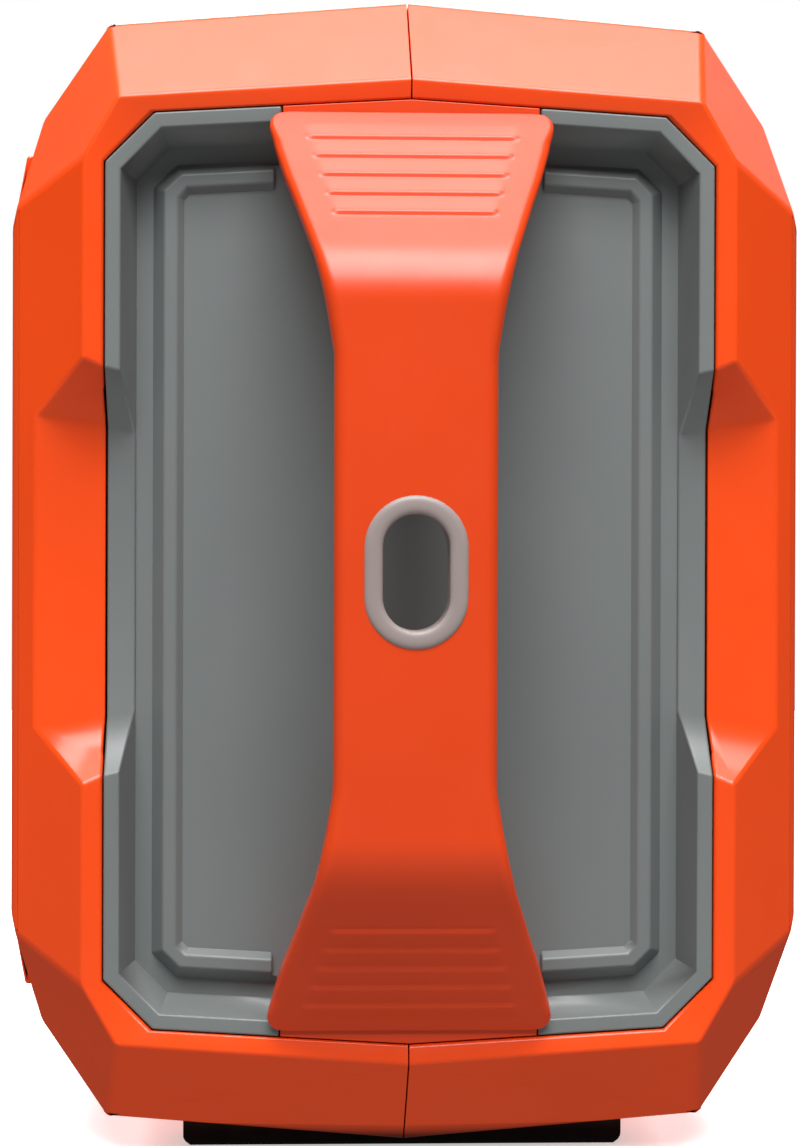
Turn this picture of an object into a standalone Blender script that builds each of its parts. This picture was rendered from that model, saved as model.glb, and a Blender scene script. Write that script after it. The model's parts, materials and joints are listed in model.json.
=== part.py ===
"""Portable power station with two moulded carrying handles.

Two clamshell halves close around a battery and an inverter. Each end has an
inset panel and an arched handle, the front holds the controls and outlets, and
the rear holds the fan grille and the charging inlet.

Frame: +X runs along the body towards the right-hand handle, -Y is the control
side and +Z is up. The origin is under the middle of the body, on the surface
that the feet stand on. Every length below is in millimetres, and new_object()
turns it into metres. Heights inside the script are counted from the body's
middle, MID_Z above the floor. Depths at an end are counted inwards from the
plane of its rim.
"""

import math
from itertools import combinations

import bpy
import numpy as np

MM = 0.001
GAP = 0.3                       # between pieces that touch

# The body: one half's outline across X, as (sideways, up) corners
MID_Z = 129.6
RIM_X = 138.0
RIDGE = (0.0, 127.4)
SHOULDER = (66.3, 121.6)
CHEEK = (81.3, 101.0)
SIDE = (87.4, 75.0)
RIM_RIDGE = (0.0, 106.2)
RIM_SHOULDER = (63.0, 101.8)
RIM_SIDE = (70.3, 89.0)
TOP_CHAMFER_SLOPE = 1.207       # depth gained per millimetre outwards
CORNER_CHAMFER_SLOPE = 1.90
SIDE_CHAMFER_SLOPE = 1.115
WALL = 3.0
SIDE_WALL = 5.2
LIP_DEPTH = 6.0

# The opening in each end, and the panel that fills it
OUTLINE_RIDGE = (0.0, 101.9)
OUTLINE_SHOULDER = (55.2, 98.6)
OUTLINE_SIDE = (65.9, 87.9)
RIM_DISH = 1.0
PANEL_PROFILE = (               # (inset from the outline, depth)
    (0.0, 17.0), (0.0, 1.0), (3.3, 1.2), (6.2, 13.5), (9.8, 13.5),
    (12.4, 9.7), (15.1, 9.7), (16.6, 11.5),
)
PANEL_FLOOR = 11.5
PANEL_BACK = 17.0
RIB_GAP = 29.5
TAB_REACH = 3.0
TAB_TOP, TAB_BOTTOM = 82.0, 56.0

# The recess across each end's front and rear edge
BITE_DEPTH = 12.7
BITE_HALF_HEIGHT = 43.9
BITE_SLOPE = 1.068
BITE_SLANT = 0.168
BITE_INNER, BITE_OUTER = 57.5, 96.0

# The handle
GRIP_PROUD = 27.5
GRIP_THICKNESS = 9.5
GRIP_HALF_WIDTH = 16.93
BEND_HEIGHT = 62.3
BEND_HALF_LENGTH = 6.6
PAD_END = 98.7
PAD_CLEARANCE = 0.5             # depth at which the pad's underside passes over the panel's rim
WIDTH_STEPS = (                 # (height, half width) down the flared end
    (45.0, 16.93), (48.5, 17.5), (54.0, 18.4), (60.0, 19.6), (66.0, 21.1), (71.0, 22.8),
    (77.0, 24.9), (83.0, 27.1), (89.0, 29.0), (94.0, 30.2), (96.6, 29.9), (98.0, 28.9),
    (98.7, 27.2),
)
GRIP_EDGE = 2.4
BASE_HALF_WIDTH = 28.0
BASE_BOTTOM = 89.0
BASE_DEPTH = 14.3
HANDLE_SCREW_HEIGHT = 93.0
HOLE_SIZE = (13.8, 24.1)        # width and height of the grommet's hole
RING_SIZE = (21.6, 32.0)
SLEEVE_SIZE = (17.4, 27.8)
RING_PROUD = 0.7
RING_SEAT = 1.0

# The feet
FOOT_INNER_X, FOOT_OUTER_X = 94.0, 108.0
FOOT_HALF_LENGTH = 49.5

# The front
BEZEL_HALF = (108.0, 93.0)
BEZEL_PROUD = 0.8
BEZEL_SEAT = 2.2
BEZEL_BEND = 76.0
BEZEL_TIP = 85.0
WINDOW_HALF = (92.0, 64.0)
TRAY_RECESS = 11.2
TRAY_FLOOR = 3.0
TRAY_WALL = 2.4
TRAY_DRAFT = 3.0
FACE_Y = -(SIDE[0] + BEZEL_PROUD)
FLOOR_Y = FACE_Y + TRAY_RECESS
FLOOR_BACK_Y = FLOOR_Y + TRAY_FLOOR

DISPLAY = (-32.0, 34.0, 76.0, 38.0)      # centre x, centre height, width, height
LAMP = (60.0, 40.0, 44.0, 20.0)
BUTTONS = {                              # centre x, centre height, radius
    "power_button": (24.0, 36.0, 8.0),
    "light_button": (60.0, 18.0, 5.5),
    "ac_button": (44.0, 4.0, 5.5),
    "dc_button": (-44.0, 4.0, 5.5),
}
BUTTON_PROUD = 2.4
BUTTON_FLANGE = 1.2
PORT_PANEL = (-84.5, -8.5, -57.5, -5.5)  # left, right, bottom, top
PORT_PANEL_LAP = 2.0
USB_A = ((-74.0, -14.0), (-54.0, -14.0))
USB_A_BODY, USB_A_MOUTH = (15.6, 8.2), (12.6, 5.0)
USB_C = ((-34.0, -14.0), (-18.0, -14.0))
USB_C_BODY, USB_C_MOUTH = (11.6, 6.0), (9.0, 3.2)
DC_JACKS = ((-70.0, -34.0), (-70.0, -50.0))
DC_RADIUS, DC_BORE = 6.0, 4.1
AC_OUTLETS = {"left": (25.0, -32.0), "right": (63.0, -32.0)}
OUTLET_SIZE = (33.0, 27.0)
CAR_SOCKET = (-30.0, -40.8)
CAR_RADIUS, CAR_BORE, CAR_DEPTH = 12.4, 10.6, 42.0
HINGE_REACH = 2.9                        # hinge line to the tray's floor
PIN_RADIUS = 1.0
KNUCKLE_RADIUS = 2.3
AC_FLAP = (6.0, 82.0, -8.0, -54.0)       # left, right, hinge height, bottom
CAR_FLAP = (-48.0, -12.0, -21.0, -57.0)

# The rear
GRILLE = (46.0, 22.0, 92.0)              # centre x, centre height, side
GRILLE_SLOTS = 9
GRILLE_SLOT_WIDTH = 3.2
FAN_SIZE = 80.0
FAN_DEPTH = 25.0
FAN_BLADES = 7
INLET = (-60.0, 22.0)
INLET_RADIUS, INLET_FLANGE, INLET_BORE = 9.0, 10.6, 4.4

# Inside
BATTERY_Y = (-30.0, 62.0)
BATTERY_H = (-112.0, -44.0)
BOSS = (110.0, 62.0)                     # x and height of each boss
BOSS_RADIUS = 4.6

ORANGE = (0.80, 0.085, 0.012)
GREY = (0.17, 0.175, 0.17)
DARK = (0.03, 0.032, 0.034)


# ---------------------------------------------------------------- small tools

def clear_scene():
    for old in list(bpy.data.objects):
        bpy.data.objects.remove(old, do_unlink=True)


def new_material(name, colour, roughness, metallic=0.0):
    material = bpy.data.materials.new(name)
    material.use_nodes = True
    shader = material.node_tree.nodes["Principled BSDF"]
    shader.inputs["Base Color"].default_value = (*colour, 1.0)
    shader.inputs["Roughness"].default_value = roughness
    shader.inputs["Metallic"].default_value = metallic
    return material


def new_object(name, points, faces, origin=(0.0, 0.0, 0.0), look=None):
    """A closed mesh from points in body millimetres, with its origin on a given point."""
    offset = np.array(origin, float)
    mesh = bpy.data.meshes.new(name)
    mesh.from_pydata([tuple((np.array(p, float) - offset) * MM) for p in points], [], faces)
    mesh.update()
    made = bpy.data.objects.new(name, mesh)
    made.location = (offset + (0.0, 0.0, MID_Z)) * MM
    bpy.context.scene.collection.objects.link(made)
    outward(made)
    if look:
        mesh.materials.append(new_material(name, *look))
    return made


def outward(made):
    """Turn the faces outwards, judged by the mesh's signed volume."""
    mesh = made.data
    mesh.calc_loop_triangles()
    volume = 0.0
    for triangle in mesh.loop_triangles:
        a, b, c = (mesh.vertices[i].co for i in triangle.vertices)
        volume += a.dot(b.cross(c))
    if volume < 0:
        mesh.flip_normals()


def smooth_round(made, angle=35.0):
    made.data.shade_smooth()
    made.data.set_sharp_from_angle(angle=math.radians(angle))
    return made


def as_cutter(made):
    made.hide_render = True
    made.display_type = "WIRE"
    return made


def combine(target, tool, operation):
    modifier = target.modifiers.new(tool.name, "BOOLEAN")
    modifier.operation = operation
    modifier.solver = "EXACT"
    modifier.object = as_cutter(tool)
    return target


def cut(target, *tools):
    for tool in tools:
        combine(target, tool, "DIFFERENCE")
    return target


def join(target, *tools):
    for tool in tools:
        combine(target, tool, "UNION")
    return target


def loft(name, loops, look=None, origin=(0.0, 0.0, 0.0)):
    """A closed solid through loops of equally many points, capped at both ends."""
    count = len(loops[0])
    points = [p for loop in loops for p in loop]
    faces = [tuple(range(count)), tuple(range(len(points) - count, len(points)))[::-1]]
    for row in range(len(loops) - 1):
        for k in range(count):
            a, b = row * count + k, row * count + (k + 1) % count
            faces.append((a, a + count, b + count, b))
    return new_object(name, points, faces, origin, look)


def extrude(name, outline, axis, low, high, look=None, origin=(0.0, 0.0, 0.0)):
    """A prism along one axis. The outline holds the other two coordinates, in X, Y, Z order."""
    def place(point, level):
        full = list(point)
        full.insert("XYZ".index(axis), level)
        return tuple(full)
    return loft(name, [[place(p, level) for p in outline] for level in (low, high)], look, origin)


def box(name, x, y, h, look=None, origin=(0.0, 0.0, 0.0)):
    outline = ((x[0], y[0]), (x[1], y[0]), (x[1], y[1]), (x[0], y[1]))
    return extrude(name, outline, "Z", h[0], h[1], look, origin)


def ring_points(radius, sides, centre=(0.0, 0.0), turn=0.5):
    angles = [2 * math.pi * (k + turn) / sides for k in range(sides)]
    return [(centre[0] + radius * math.cos(a), centre[1] + radius * math.sin(a)) for a in angles]


def turned(name, profile, centre, look=None, sides=18, origin=None):
    """A body of revolution about a line along Y. The profile holds (y, radius) pairs."""
    loops = []
    for y, radius in profile:
        loops.append([(x, y, h) for x, h in ring_points(radius, sides, centre)])
    made = loft(name, loops, look, origin or (centre[0], 0.0, centre[1]))
    return smooth_round(made)


def rounded_box(width, height, radius, centre=(0.0, 0.0), steps=3):
    """A rectangle's outline with round corners."""
    outline = []
    for quarter, (sx, sy) in enumerate(((1, 1), (-1, 1), (-1, -1), (1, -1))):
        cx = centre[0] + sx * (width / 2 - radius)
        cy = centre[1] + sy * (height / 2 - radius)
        for k in range(steps + 1):
            angle = math.pi / 2 * (quarter + k / steps)
            outline.append((cx + radius * math.cos(angle), cy + radius * math.sin(angle)))
    return outline


def solid_from_planes(name, planes, look=None):
    """The convex solid inside planes given as (normal, offset), with one face for each plane."""
    corners = []
    for trio in combinations(planes, 3):
        normals = np.array([normal for normal, _ in trio])
        if abs(np.linalg.det(normals)) < 1e-6:
            continue
        point = np.linalg.solve(normals, np.array([offset for _, offset in trio]))
        inside = all(np.dot(normal, point) <= offset + 1e-6 for normal, offset in planes)
        if inside and all(np.linalg.norm(point - other) > 1e-4 for other in corners):
            corners.append(point)
    faces = []
    for normal, offset in planes:
        on = [i for i, p in enumerate(corners) if abs(np.dot(normal, p) - offset) < 1e-5]
        if len(on) < 3:
            continue
        middle = np.mean([corners[i] for i in on], axis=0)
        along = corners[on[0]] - middle
        across = np.cross(normal, along)
        faces.append(tuple(sorted(on, key=lambda i: math.atan2(
            np.dot(corners[i] - middle, across), np.dot(corners[i] - middle, along)))))
    return new_object(name, corners, faces, look=look)


# ---------------------------------------------------------------- the shells

def wall_plane(a, b, side):
    """The plane along X through two corners of the outline, facing away from the middle."""
    normal = np.array([0.0, (b[1] - a[1]), -(b[0] - a[0])])
    normal /= np.linalg.norm(normal)
    offset = normal[1] * a[0] + normal[2] * a[1]
    if offset < 0:
        normal, offset = -normal, -offset
    return np.array([normal[0], side * normal[1], normal[2]]), offset


def chamfer_plane(a, b, slope, side, end):
    """The end chamfer that starts on the rim edge between two corners."""
    (_, across, up), offset = wall_plane(a, b, side)
    normal = np.array([end, slope * across, slope * up])
    length = np.linalg.norm(normal)
    return normal / length, (RIM_X + slope * offset) / length


def flip(corner):
    return corner[0], -corner[1]


def shell_planes(side, inset=0.0, side_inset=0.0, lip=0.0, seam=GAP / 2):
    """All the planes of one half. A positive inset moves them inwards, for the cavity."""
    planes = [(np.array([0.0, -side, 0.0]), -seam)]
    walls = [(RIDGE, SHOULDER), (SHOULDER, CHEEK), (CHEEK, SIDE)]
    rims = [(RIM_RIDGE, RIM_SHOULDER, TOP_CHAMFER_SLOPE),
            (RIM_SHOULDER, RIM_SIDE, CORNER_CHAMFER_SLOPE)]
    for turn in (tuple, flip):
        for a, b in walls:
            normal, offset = wall_plane(turn(a), turn(b), side)
            planes.append((normal, offset - inset))
        for a, b, slope in rims:
            for end in (-1, 1):
                normal, offset = chamfer_plane(turn(a), turn(b), slope, side, end)
                planes.append((normal, offset - inset))
    normal, offset = wall_plane(SIDE, flip(SIDE), side)
    planes.append((normal, offset - side_inset))
    for end in (-1, 1):
        normal, offset = chamfer_plane(RIM_SIDE, flip(RIM_SIDE), SIDE_CHAMFER_SLOPE, side, end)
        planes.append((normal, offset - inset))
        planes.append((np.array([float(end), 0.0, 0.0]), RIM_X - lip))
    return planes


def inset_outline(inset, ridge=OUTLINE_RIDGE, shoulder=OUTLINE_SHOULDER, side=OUTLINE_SIDE):
    """The end opening's ten corners, moved inwards by an even distance."""
    right = [ridge, shoulder, side, flip(side), flip(shoulder), flip(ridge)]
    left = [(-y, h) for y, h in right[4:0:-1]]
    corners = right + left
    count = len(corners)
    moved = []
    for k in range(count):
        before, here, after = (np.array(corners[(k + d) % count]) for d in (-1, 0, 1))
        first = (here - before) / np.linalg.norm(here - before)
        second = (after - here) / np.linalg.norm(after - here)
        inward = [np.array([first[1], -first[0]]), np.array([second[1], -second[0]])]
        if np.dot(inward[0], -here) < 0:
            inward = [-v for v in inward]
        bisector = inward[0] + inward[1]
        bisector *= inset / np.dot(bisector, inward[0])
        moved.append(tuple(here + bisector))
    return moved


def rim_outline():
    return inset_outline(0.0, RIM_RIDGE, RIM_SHOULDER, RIM_SIDE)


def end_loop(outline, depth, end):
    return [(end * (RIM_X - depth), y, h) for y, h in outline]


def dish_cutter(name, end):
    """Leans the rim slightly inwards, and opens the end for its panel."""
    outer, opening = rim_outline(), inset_outline(-GAP / 2)
    loops = [end_loop(outer, -5.0, end), end_loop(outer, 0.0, end),
             end_loop(opening, RIM_DISH, end), end_loop(opening, LIP_DEPTH + 4.0, end)]
    return loft(name, loops)


def bite_block(name, end, side, grow=0.0):
    """The recess in one edge of an end. Grown, it is the wall that closes it inside."""
    def slanted(y, depth):
        height = BITE_HALF_HEIGHT + BITE_SLANT * (y - OUTLINE_SIDE[0])
        return height - BITE_SLOPE * (depth - RIM_DISH) + grow * math.hypot(1.0, BITE_SLOPE)
    loops = []
    for y in (BITE_INNER - grow, BITE_OUTER):
        section = []
        for depth, up in ((-8.0, 1), (BITE_DEPTH + grow, 1), (BITE_DEPTH + grow, -1), (-8.0, -1)):
            section.append((end * (RIM_X - depth), side * y, up * slanted(y, depth)))
        loops.append(section)
    return loft(name, loops)


def shell(name, side):
    made = solid_from_planes(name, shell_planes(side), (ORANGE, 0.42))
    cavity = solid_from_planes(name + "_cavity",
                               shell_planes(side, WALL, SIDE_WALL, LIP_DEPTH, seam=-6.0))
    for end in (-1, 1):
        cut(cavity, bite_block(f"{name}_bite_wall_{end}", end, side, WALL))
    for x in (-BOSS[0], BOSS[0]):
        for h in (-BOSS[1], BOSS[1]):
            post = turned(f"{name}_post_{x:.0f}_{h:.0f}",
                          ((side * GAP / 2, BOSS_RADIUS), (side * 90.0, BOSS_RADIUS)),
                          (x, h), sides=14)
            cut(cavity, post)
    cut(made, cavity)
    for end in (-1, 1):
        cut(made, dish_cutter(f"{name}_dish_{end}", end))
        cut(made, bite_block(f"{name}_bite_{end}", end, side))
        cut(made, end_panel_slot(f"{name}_slot_{end}", end))
    return made


def end_panel_slot(name, end):
    """Room behind the lip for the panel's edge."""
    loops = [end_loop(inset_outline(-GAP), depth, end) for depth in (LIP_DEPTH, PANEL_BACK + 3.0)]
    return loft(name, loops)


def front_shell():
    made = shell("front_shell", -1)
    seat = (BEZEL_HALF[0] + GAP, BEZEL_HALF[1] + GAP)
    seat_y = -(SIDE[0] - BEZEL_SEAT)
    cut(made, box("bezel_seat", (-seat[0], seat[0]), (-95.0, seat_y), (-seat[1], seat[1])))
    opening = rounded_box(2 * WINDOW_HALF[0], 2 * WINDOW_HALF[1], 6.0)
    cut(made, extrude("front_opening", opening, "Y", -100.0, -70.0))
    for x, h in boss_places():
        cut(made, turned(f"front_screw_hole_{x:.0f}_{h:.0f}", ((5.0, 2.2), (-24.0, 2.2)), (x, h),
                         sides=14))
    return made


def rear_shell():
    made = shell("rear_shell", 1)
    x, h, size = GRILLE
    seat = rounded_box(size + 2 * GAP, size + 2 * GAP, 6.0, (x, h))
    cut(made, extrude("grille_seat", seat, "Y", SIDE[0] - BEZEL_SEAT, 95.0))
    cut(made, extrude("grille_opening", rounded_box(size - 12.0, size - 12.0, 5.0, (x, h)),
                      "Y", 70.0, 95.0))
    cut(made, turned("inlet_hole", ((70.0, INLET_RADIUS + GAP), (95.0, INLET_RADIUS + GAP)), INLET))
    for px, ph in boss_places():
        cut(made, turned(f"rear_screw_hole_{px:.0f}_{ph:.0f}",
                         ((-5.0, 2.2), (76.0, 2.2), (76.0, 3.9), (95.0, 3.9)), (px, ph),
                         sides=14))
    return made


def boss_places():
    return [(x, h) for x in (-BOSS[0], BOSS[0]) for h in (-BOSS[1], BOSS[1])]


def shell_screws():
    for number, (x, h) in enumerate(boss_places(), 1):
        profile = ((-22.0, 1.9), (76.0 + GAP, 1.9), (76.0 + GAP, 3.5), (80.5, 3.5))
        made = turned(f"shell_screw_{number}", profile, (x, h), ((0.35, 0.35, 0.36), 0.35, 1.0),
                      sides=14)
        cut(made, extrude(f"screw_drive_{number}", ring_points(1.9, 6, (x, h)), "Y", 78.6, 82.0))


# ---------------------------------------------------------------- the ends

def end_name(end):
    return "right" if end > 0 else "left"


def end_panel(end):
    name = "end_panel_" + end_name(end)
    loops = [end_loop(inset_outline(inset + GAP / 2), depth, end)
             for inset, depth in PANEL_PROFILE]
    made = loft(name, loops, (GREY, 0.5))
    for side in (-1, 1):
        for up in (-1, 1):
            y = sorted((side * (OUTLINE_SIDE[0] - 3.0), side * (OUTLINE_SIDE[0] + TAB_REACH)))
            x = sorted((end * (RIM_X - LIP_DEPTH - GAP), end * (RIM_X - LIP_DEPTH - 3.4)))
            h = sorted((up * TAB_TOP, up * TAB_BOTTOM))
            join(made, box(f"{name}_tab_{side}_{up}", x, y, h))
        cut(made, bite_block(f"{name}_bite_{side}", end, side))
    for up in (-1, 1):
        x = sorted((end * (RIM_X + 3.0), end * (RIM_X - PANEL_FLOOR)))
        cut(made, box(f"{name}_rib_gap_{up}", x, (-RIB_GAP, RIB_GAP), sorted((up * 80.0, up * 90.0))))
        x = sorted((end * (RIM_X + 3.0), end * (RIM_X - BASE_DEPTH - GAP)))
        h = sorted((up * (BASE_BOTTOM - GAP), up * 110.0))
        cut(made, box(f"{name}_notch_{up}", x, (-BASE_HALF_WIDTH, BASE_HALF_WIDTH), h))
        hole = ring_points(1.9, 12, (0.0, up * HANDLE_SCREW_HEIGHT))
        x = sorted((end * (RIM_X - BASE_DEPTH + 3.0), end * (RIM_X - PANEL_BACK - 3.0)))
        cut(made, extrude(f"{name}_screw_hole_{up}", hole, "X", *x))
    return made


def grip_depth(height):
    """Depth of the handle's outer face at a height: flat grip, round bend, straight ramp."""
    h = abs(height)
    ramp = GRIP_PROUD / (PAD_END - BEND_HEIGHT)
    if h <= BEND_HEIGHT - BEND_HALF_LENGTH:
        return -GRIP_PROUD
    if h >= BEND_HEIGHT + BEND_HALF_LENGTH:
        return -GRIP_PROUD + ramp * (h - BEND_HEIGHT)
    along = (h - BEND_HEIGHT + BEND_HALF_LENGTH) / (2 * BEND_HALF_LENGTH)
    return -GRIP_PROUD + ramp * BEND_HALF_LENGTH * along ** 2


def handle_section(height, half_width, end):
    """The handle cut level at one height, with chamfered long edges."""
    ramp = GRIP_PROUD / (PAD_END - BEND_HEIGHT)
    h = abs(height)
    steep = min(max((h - BEND_HEIGHT + BEND_HALF_LENGTH) / (2 * BEND_HALF_LENGTH), 0.0), 1.0)
    outer = grip_depth(height)
    inner = min(outer + GRIP_THICKNESS * math.hypot(1.0, ramp * steep), PAD_CLEARANCE)
    edge = min(GRIP_EDGE, 0.4 * (inner - outer))
    half = ((outer, half_width - edge), (outer + edge * 0.4, half_width - edge * 0.4),
            (outer + edge, half_width), (inner - edge * 0.7, half_width),
            (inner, half_width - edge * 0.7))
    section = [(end * (RIM_X - d), y, height) for d, y in half]
    return section + [(end * (RIM_X - d), -y, height) for d, y in reversed(half)]


def handle(end):
    name = "handle_" + end_name(end)
    upper = [(0.0, GRIP_HALF_WIDTH)] + list(WIDTH_STEPS)
    steps = [(-h, w) for h, w in reversed(upper[1:])] + upper
    made = loft(name, [handle_section(h, w, end) for h, w in steps], (ORANGE, 0.42))
    base = BASE_HALF_WIDTH - GAP
    rise = (OUTLINE_RIDGE[1] - OUTLINE_SHOULDER[1]) / OUTLINE_SHOULDER[0]
    top = OUTLINE_RIDGE[1] - GAP / 2
    for up in (-1, 1):
        outline = [(-base, up * BASE_BOTTOM), (base, up * BASE_BOTTOM),
                   (base, up * (top - rise * base)), (0.0, up * top),
                   (-base, up * (top - rise * base))]
        x = sorted((end * (RIM_X - RIM_DISH), end * (RIM_X - BASE_DEPTH)))
        join(made, extrude(f"{name}_base_{up}", outline, "X", *x))
        x = sorted((end * (RIM_X + 0.3), end * (RIM_X - 3.0)))
        h = sorted((up * (BASE_BOTTOM + 0.5), up * (PAD_END - 1.3)))
        join(made, box(f"{name}_neck_{up}", x, (-base + 1.7, base - 1.7), h))
        hole = ring_points(1.9, 12, (0.0, up * HANDLE_SCREW_HEIGHT))
        x = sorted((end * (RIM_X - 5.0), end * (RIM_X - BASE_DEPTH - 3.0)))
        cut(made, extrude(f"{name}_screw_hole_{up}", hole, "X", *x))
    through = grown_stadium(SLEEVE_SIZE, GAP)
    x = sorted((end * (RIM_X - 5.0), end * (RIM_X + GRIP_PROUD + 5.0)))
    cut(made, extrude(f"{name}_hole", through, "X", *x))
    x = sorted((end * (RIM_X + GRIP_PROUD - RING_SEAT), end * (RIM_X + GRIP_PROUD + 5.0)))
    cut(made, extrude(f"{name}_seat", grown_stadium(RING_SIZE, GAP), "X", *x))
    return smooth_round(made, 28.0)


def grown_stadium(size, grow=0.0):
    width, height = size[0] + 2 * grow, size[1] + 2 * grow
    return rounded_box(width, height, width / 2 - 0.01, steps=5)


def handle_grommet(end):
    """An oval ring whose flange sits in the handle, and whose sleeve lines the hole."""
    name = "handle_grommet_" + end_name(end)
    crown = RIM_X + GRIP_PROUD + RING_PROUD
    seat = RIM_X + GRIP_PROUD - RING_SEAT + GAP
    back = RIM_X + GRIP_PROUD - GRIP_THICKNESS
    loops = []
    for size, x in ((SLEEVE_SIZE, back), (SLEEVE_SIZE, seat), (RING_SIZE, seat),
                    (RING_SIZE, crown - 0.8),
                    ((RING_SIZE[0] - 1.6, RING_SIZE[1] - 1.6), crown)):
        loops.append([(end * x, y, h) for y, h in grown_stadium(size)])
    made = loft(name, loops, ((0.26, 0.215, 0.20), 0.45))
    x = sorted((end * (back - 3.0), end * (crown + 3.0)))
    cut(made, extrude(name + "_hole", grown_stadium(HOLE_SIZE), "X", *x))
    return smooth_round(made)


def handle_screws(end):
    for up, place in ((1, "top"), (-1, "bottom")):
        centre = (0.0, up * HANDLE_SCREW_HEIGHT)
        head = RIM_X - PANEL_BACK - GAP
        tip = RIM_X - 8.0
        loops = []
        for x, radius in ((head - 2.6, 3.4), (head, 3.4), (head, 1.5), (tip, 1.5)):
            loops.append([(end * x, y, h) for y, h in ring_points(radius, 12, centre)])
        made = loft(f"handle_screw_{end_name(end)}_{place}", loops, ((0.35, 0.35, 0.36), 0.35, 1.0))
        smooth_round(made)


def foot_bar(end):
    """A rubber bar across both halves, with its top lying along the shallow ridge."""
    rise = (RIDGE[1] - SHOULDER[1]) / SHOULDER[0]
    top = -RIDGE[1] - GAP
    y = FOOT_HALF_LENGTH
    outline = [(0.0, top), (y, top + rise * y), (y, -MID_Z + 1.4), (y - 1.4, -MID_Z),
               (1.4 - y, -MID_Z), (-y, -MID_Z + 1.4), (-y, top + rise * y)]
    x = sorted((end * FOOT_INNER_X, end * FOOT_OUTER_X))
    return extrude("foot_bar_" + end_name(end), outline, "X", *x, look=((0.012, 0.012, 0.011), 0.8))


# ---------------------------------------------------------------- the front

def front_bezel():
    """A frame over the front, a little proud of it, whose two ends lap onto the sloping cheeks."""
    face, back = FACE_Y, -(SIDE[0] - BEZEL_SEAT) - GAP
    lean = (SIDE[0] - CHEEK[0]) / (CHEEK[1] - SIDE[1])
    top = BEZEL_HALF[1]
    cheek_top = -(SIDE[0] - lean * (top - SIDE[1])) - GAP
    cheek_start = SIDE[1] + (SIDE[0] + back + 2 * GAP) / lean - GAP
    half = [(face, BEZEL_BEND), (-BEZEL_TIP, top), (cheek_top, top), (back, cheek_start)]
    outline = half + [(y, -h) for y, h in reversed(half)]
    made = extrude("front_bezel", outline, "X", -BEZEL_HALF[0], BEZEL_HALF[0], (ORANGE, 0.42))
    opening = rounded_box(2 * WINDOW_HALF[0], 2 * WINDOW_HALF[1], 6.0)
    cut(made, extrude("bezel_window", opening, "Y", -100.0, -70.0))
    for end in (-1, 1):
        corner = [(end * (BEZEL_HALF[0] + 1.0), -100.0), (end * (BEZEL_HALF[0] - 3.0), -100.0),
                  (end * (BEZEL_HALF[0] - 3.0), FACE_Y - 0.01),
                  (end * (BEZEL_HALF[0] - 0.6), FACE_Y + 0.8),
                  (end * (BEZEL_HALF[0] + 1.0), FACE_Y + 0.8)]
        cut(made, extrude(f"bezel_edge_{end}", corner, "Z", -110.0, 110.0))
    return made


def front_hole(name, width, height, radius, centre):
    outline = rounded_box(width + 2 * GAP, height + 2 * GAP, radius + GAP, centre)
    return extrude(name, outline, "Y", FLOOR_Y - 8.0, FLOOR_BACK_Y + 4.0)


def round_hole(name, radius, centre):
    return turned(name, ((FLOOR_Y - 8.0, radius + GAP), (FLOOR_BACK_Y + 4.0, radius + GAP)), centre)


def control_panel():
    """The recessed tray that carries every control, outlet and port."""
    width, height = (2 * (half - GAP) for half in WINDOW_HALF)
    made = extrude("control_panel", rounded_box(width, height, 5.7), "Y", FACE_Y + 0.5,
                   FLOOR_BACK_Y, (DARK, 0.55))
    back = -(SIDE[0] - SIDE_WALL) + GAP
    flange = extrude("tray_flange", rounded_box(width + 7.0, height + 7.0, 6.0), "Y",
                     back, back + 2.6)
    pocket = []
    for y, shrink in ((FACE_Y - 5.0, 0.0), (FACE_Y + 0.5, 0.0), (FLOOR_Y, TRAY_DRAFT)):
        size = (width - 2 * (TRAY_WALL + shrink), height - 2 * (TRAY_WALL + shrink))
        pocket.append([(x, y, h) for x, h in rounded_box(*size, 5.0)])
    join(made, flange)
    cut(made, loft("tray_pocket", pocket))
    hinge_ears(made, "ac", AC_FLAP)
    x, h, width, height = DISPLAY
    cut(made, front_hole("display_hole", width, height, 3.0, (x, h)))
    x, h, width, height = LAMP
    cut(made, front_hole("lamp_hole", width, height, 4.0, (x, h)))
    for name, (x, h, radius) in BUTTONS.items():
        cut(made, round_hole(name + "_hole", radius, (x, h)))
    for name, centre in AC_OUTLETS.items():
        cut(made, front_hole(f"outlet_hole_{name}", *OUTLET_SIZE, 4.0, centre))
    cut(made, front_hole("port_panel_hole", *port_panel_size(), 3.0, port_panel_centre()))
    return made


def port_panel_size():
    left, right, bottom, top = PORT_PANEL
    return right - left, top - bottom


def port_panel_centre():
    left, right, bottom, top = PORT_PANEL
    return (left + right) / 2, (top + bottom) / 2


def port_panel():
    """A smaller plate for the low-voltage ports, let into the tray from behind."""
    width, height = port_panel_size()
    centre = port_panel_centre()
    made = extrude("port_panel", rounded_box(width, height, 3.0, centre), "Y", FLOOR_Y,
                   FLOOR_BACK_Y + GAP + 0.1, (DARK, 0.55))
    flange = rounded_box(width + 2 * PORT_PANEL_LAP, height + 2 * PORT_PANEL_LAP, 3.0, centre)
    join(made, extrude("port_panel_flange", flange, "Y", FLOOR_BACK_Y + GAP, FLOOR_BACK_Y + 1.8))
    hinge_ears(made, "car", CAR_FLAP)
    for k, place in enumerate(USB_A):
        cut(made, front_hole(f"usb_a_hole_{k}", *USB_A_BODY, 1.0, place))
    for k, place in enumerate(USB_C):
        cut(made, front_hole(f"usb_c_hole_{k}", *USB_C_BODY, 2.6, place))
    for k, place in enumerate(DC_JACKS):
        cut(made, round_hole(f"dc_hole_{k}", DC_RADIUS, place))
    cut(made, round_hole("car_hole", CAR_RADIUS, CAR_SOCKET))
    return made


def hinge_y():
    return FLOOR_Y - HINGE_REACH


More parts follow.
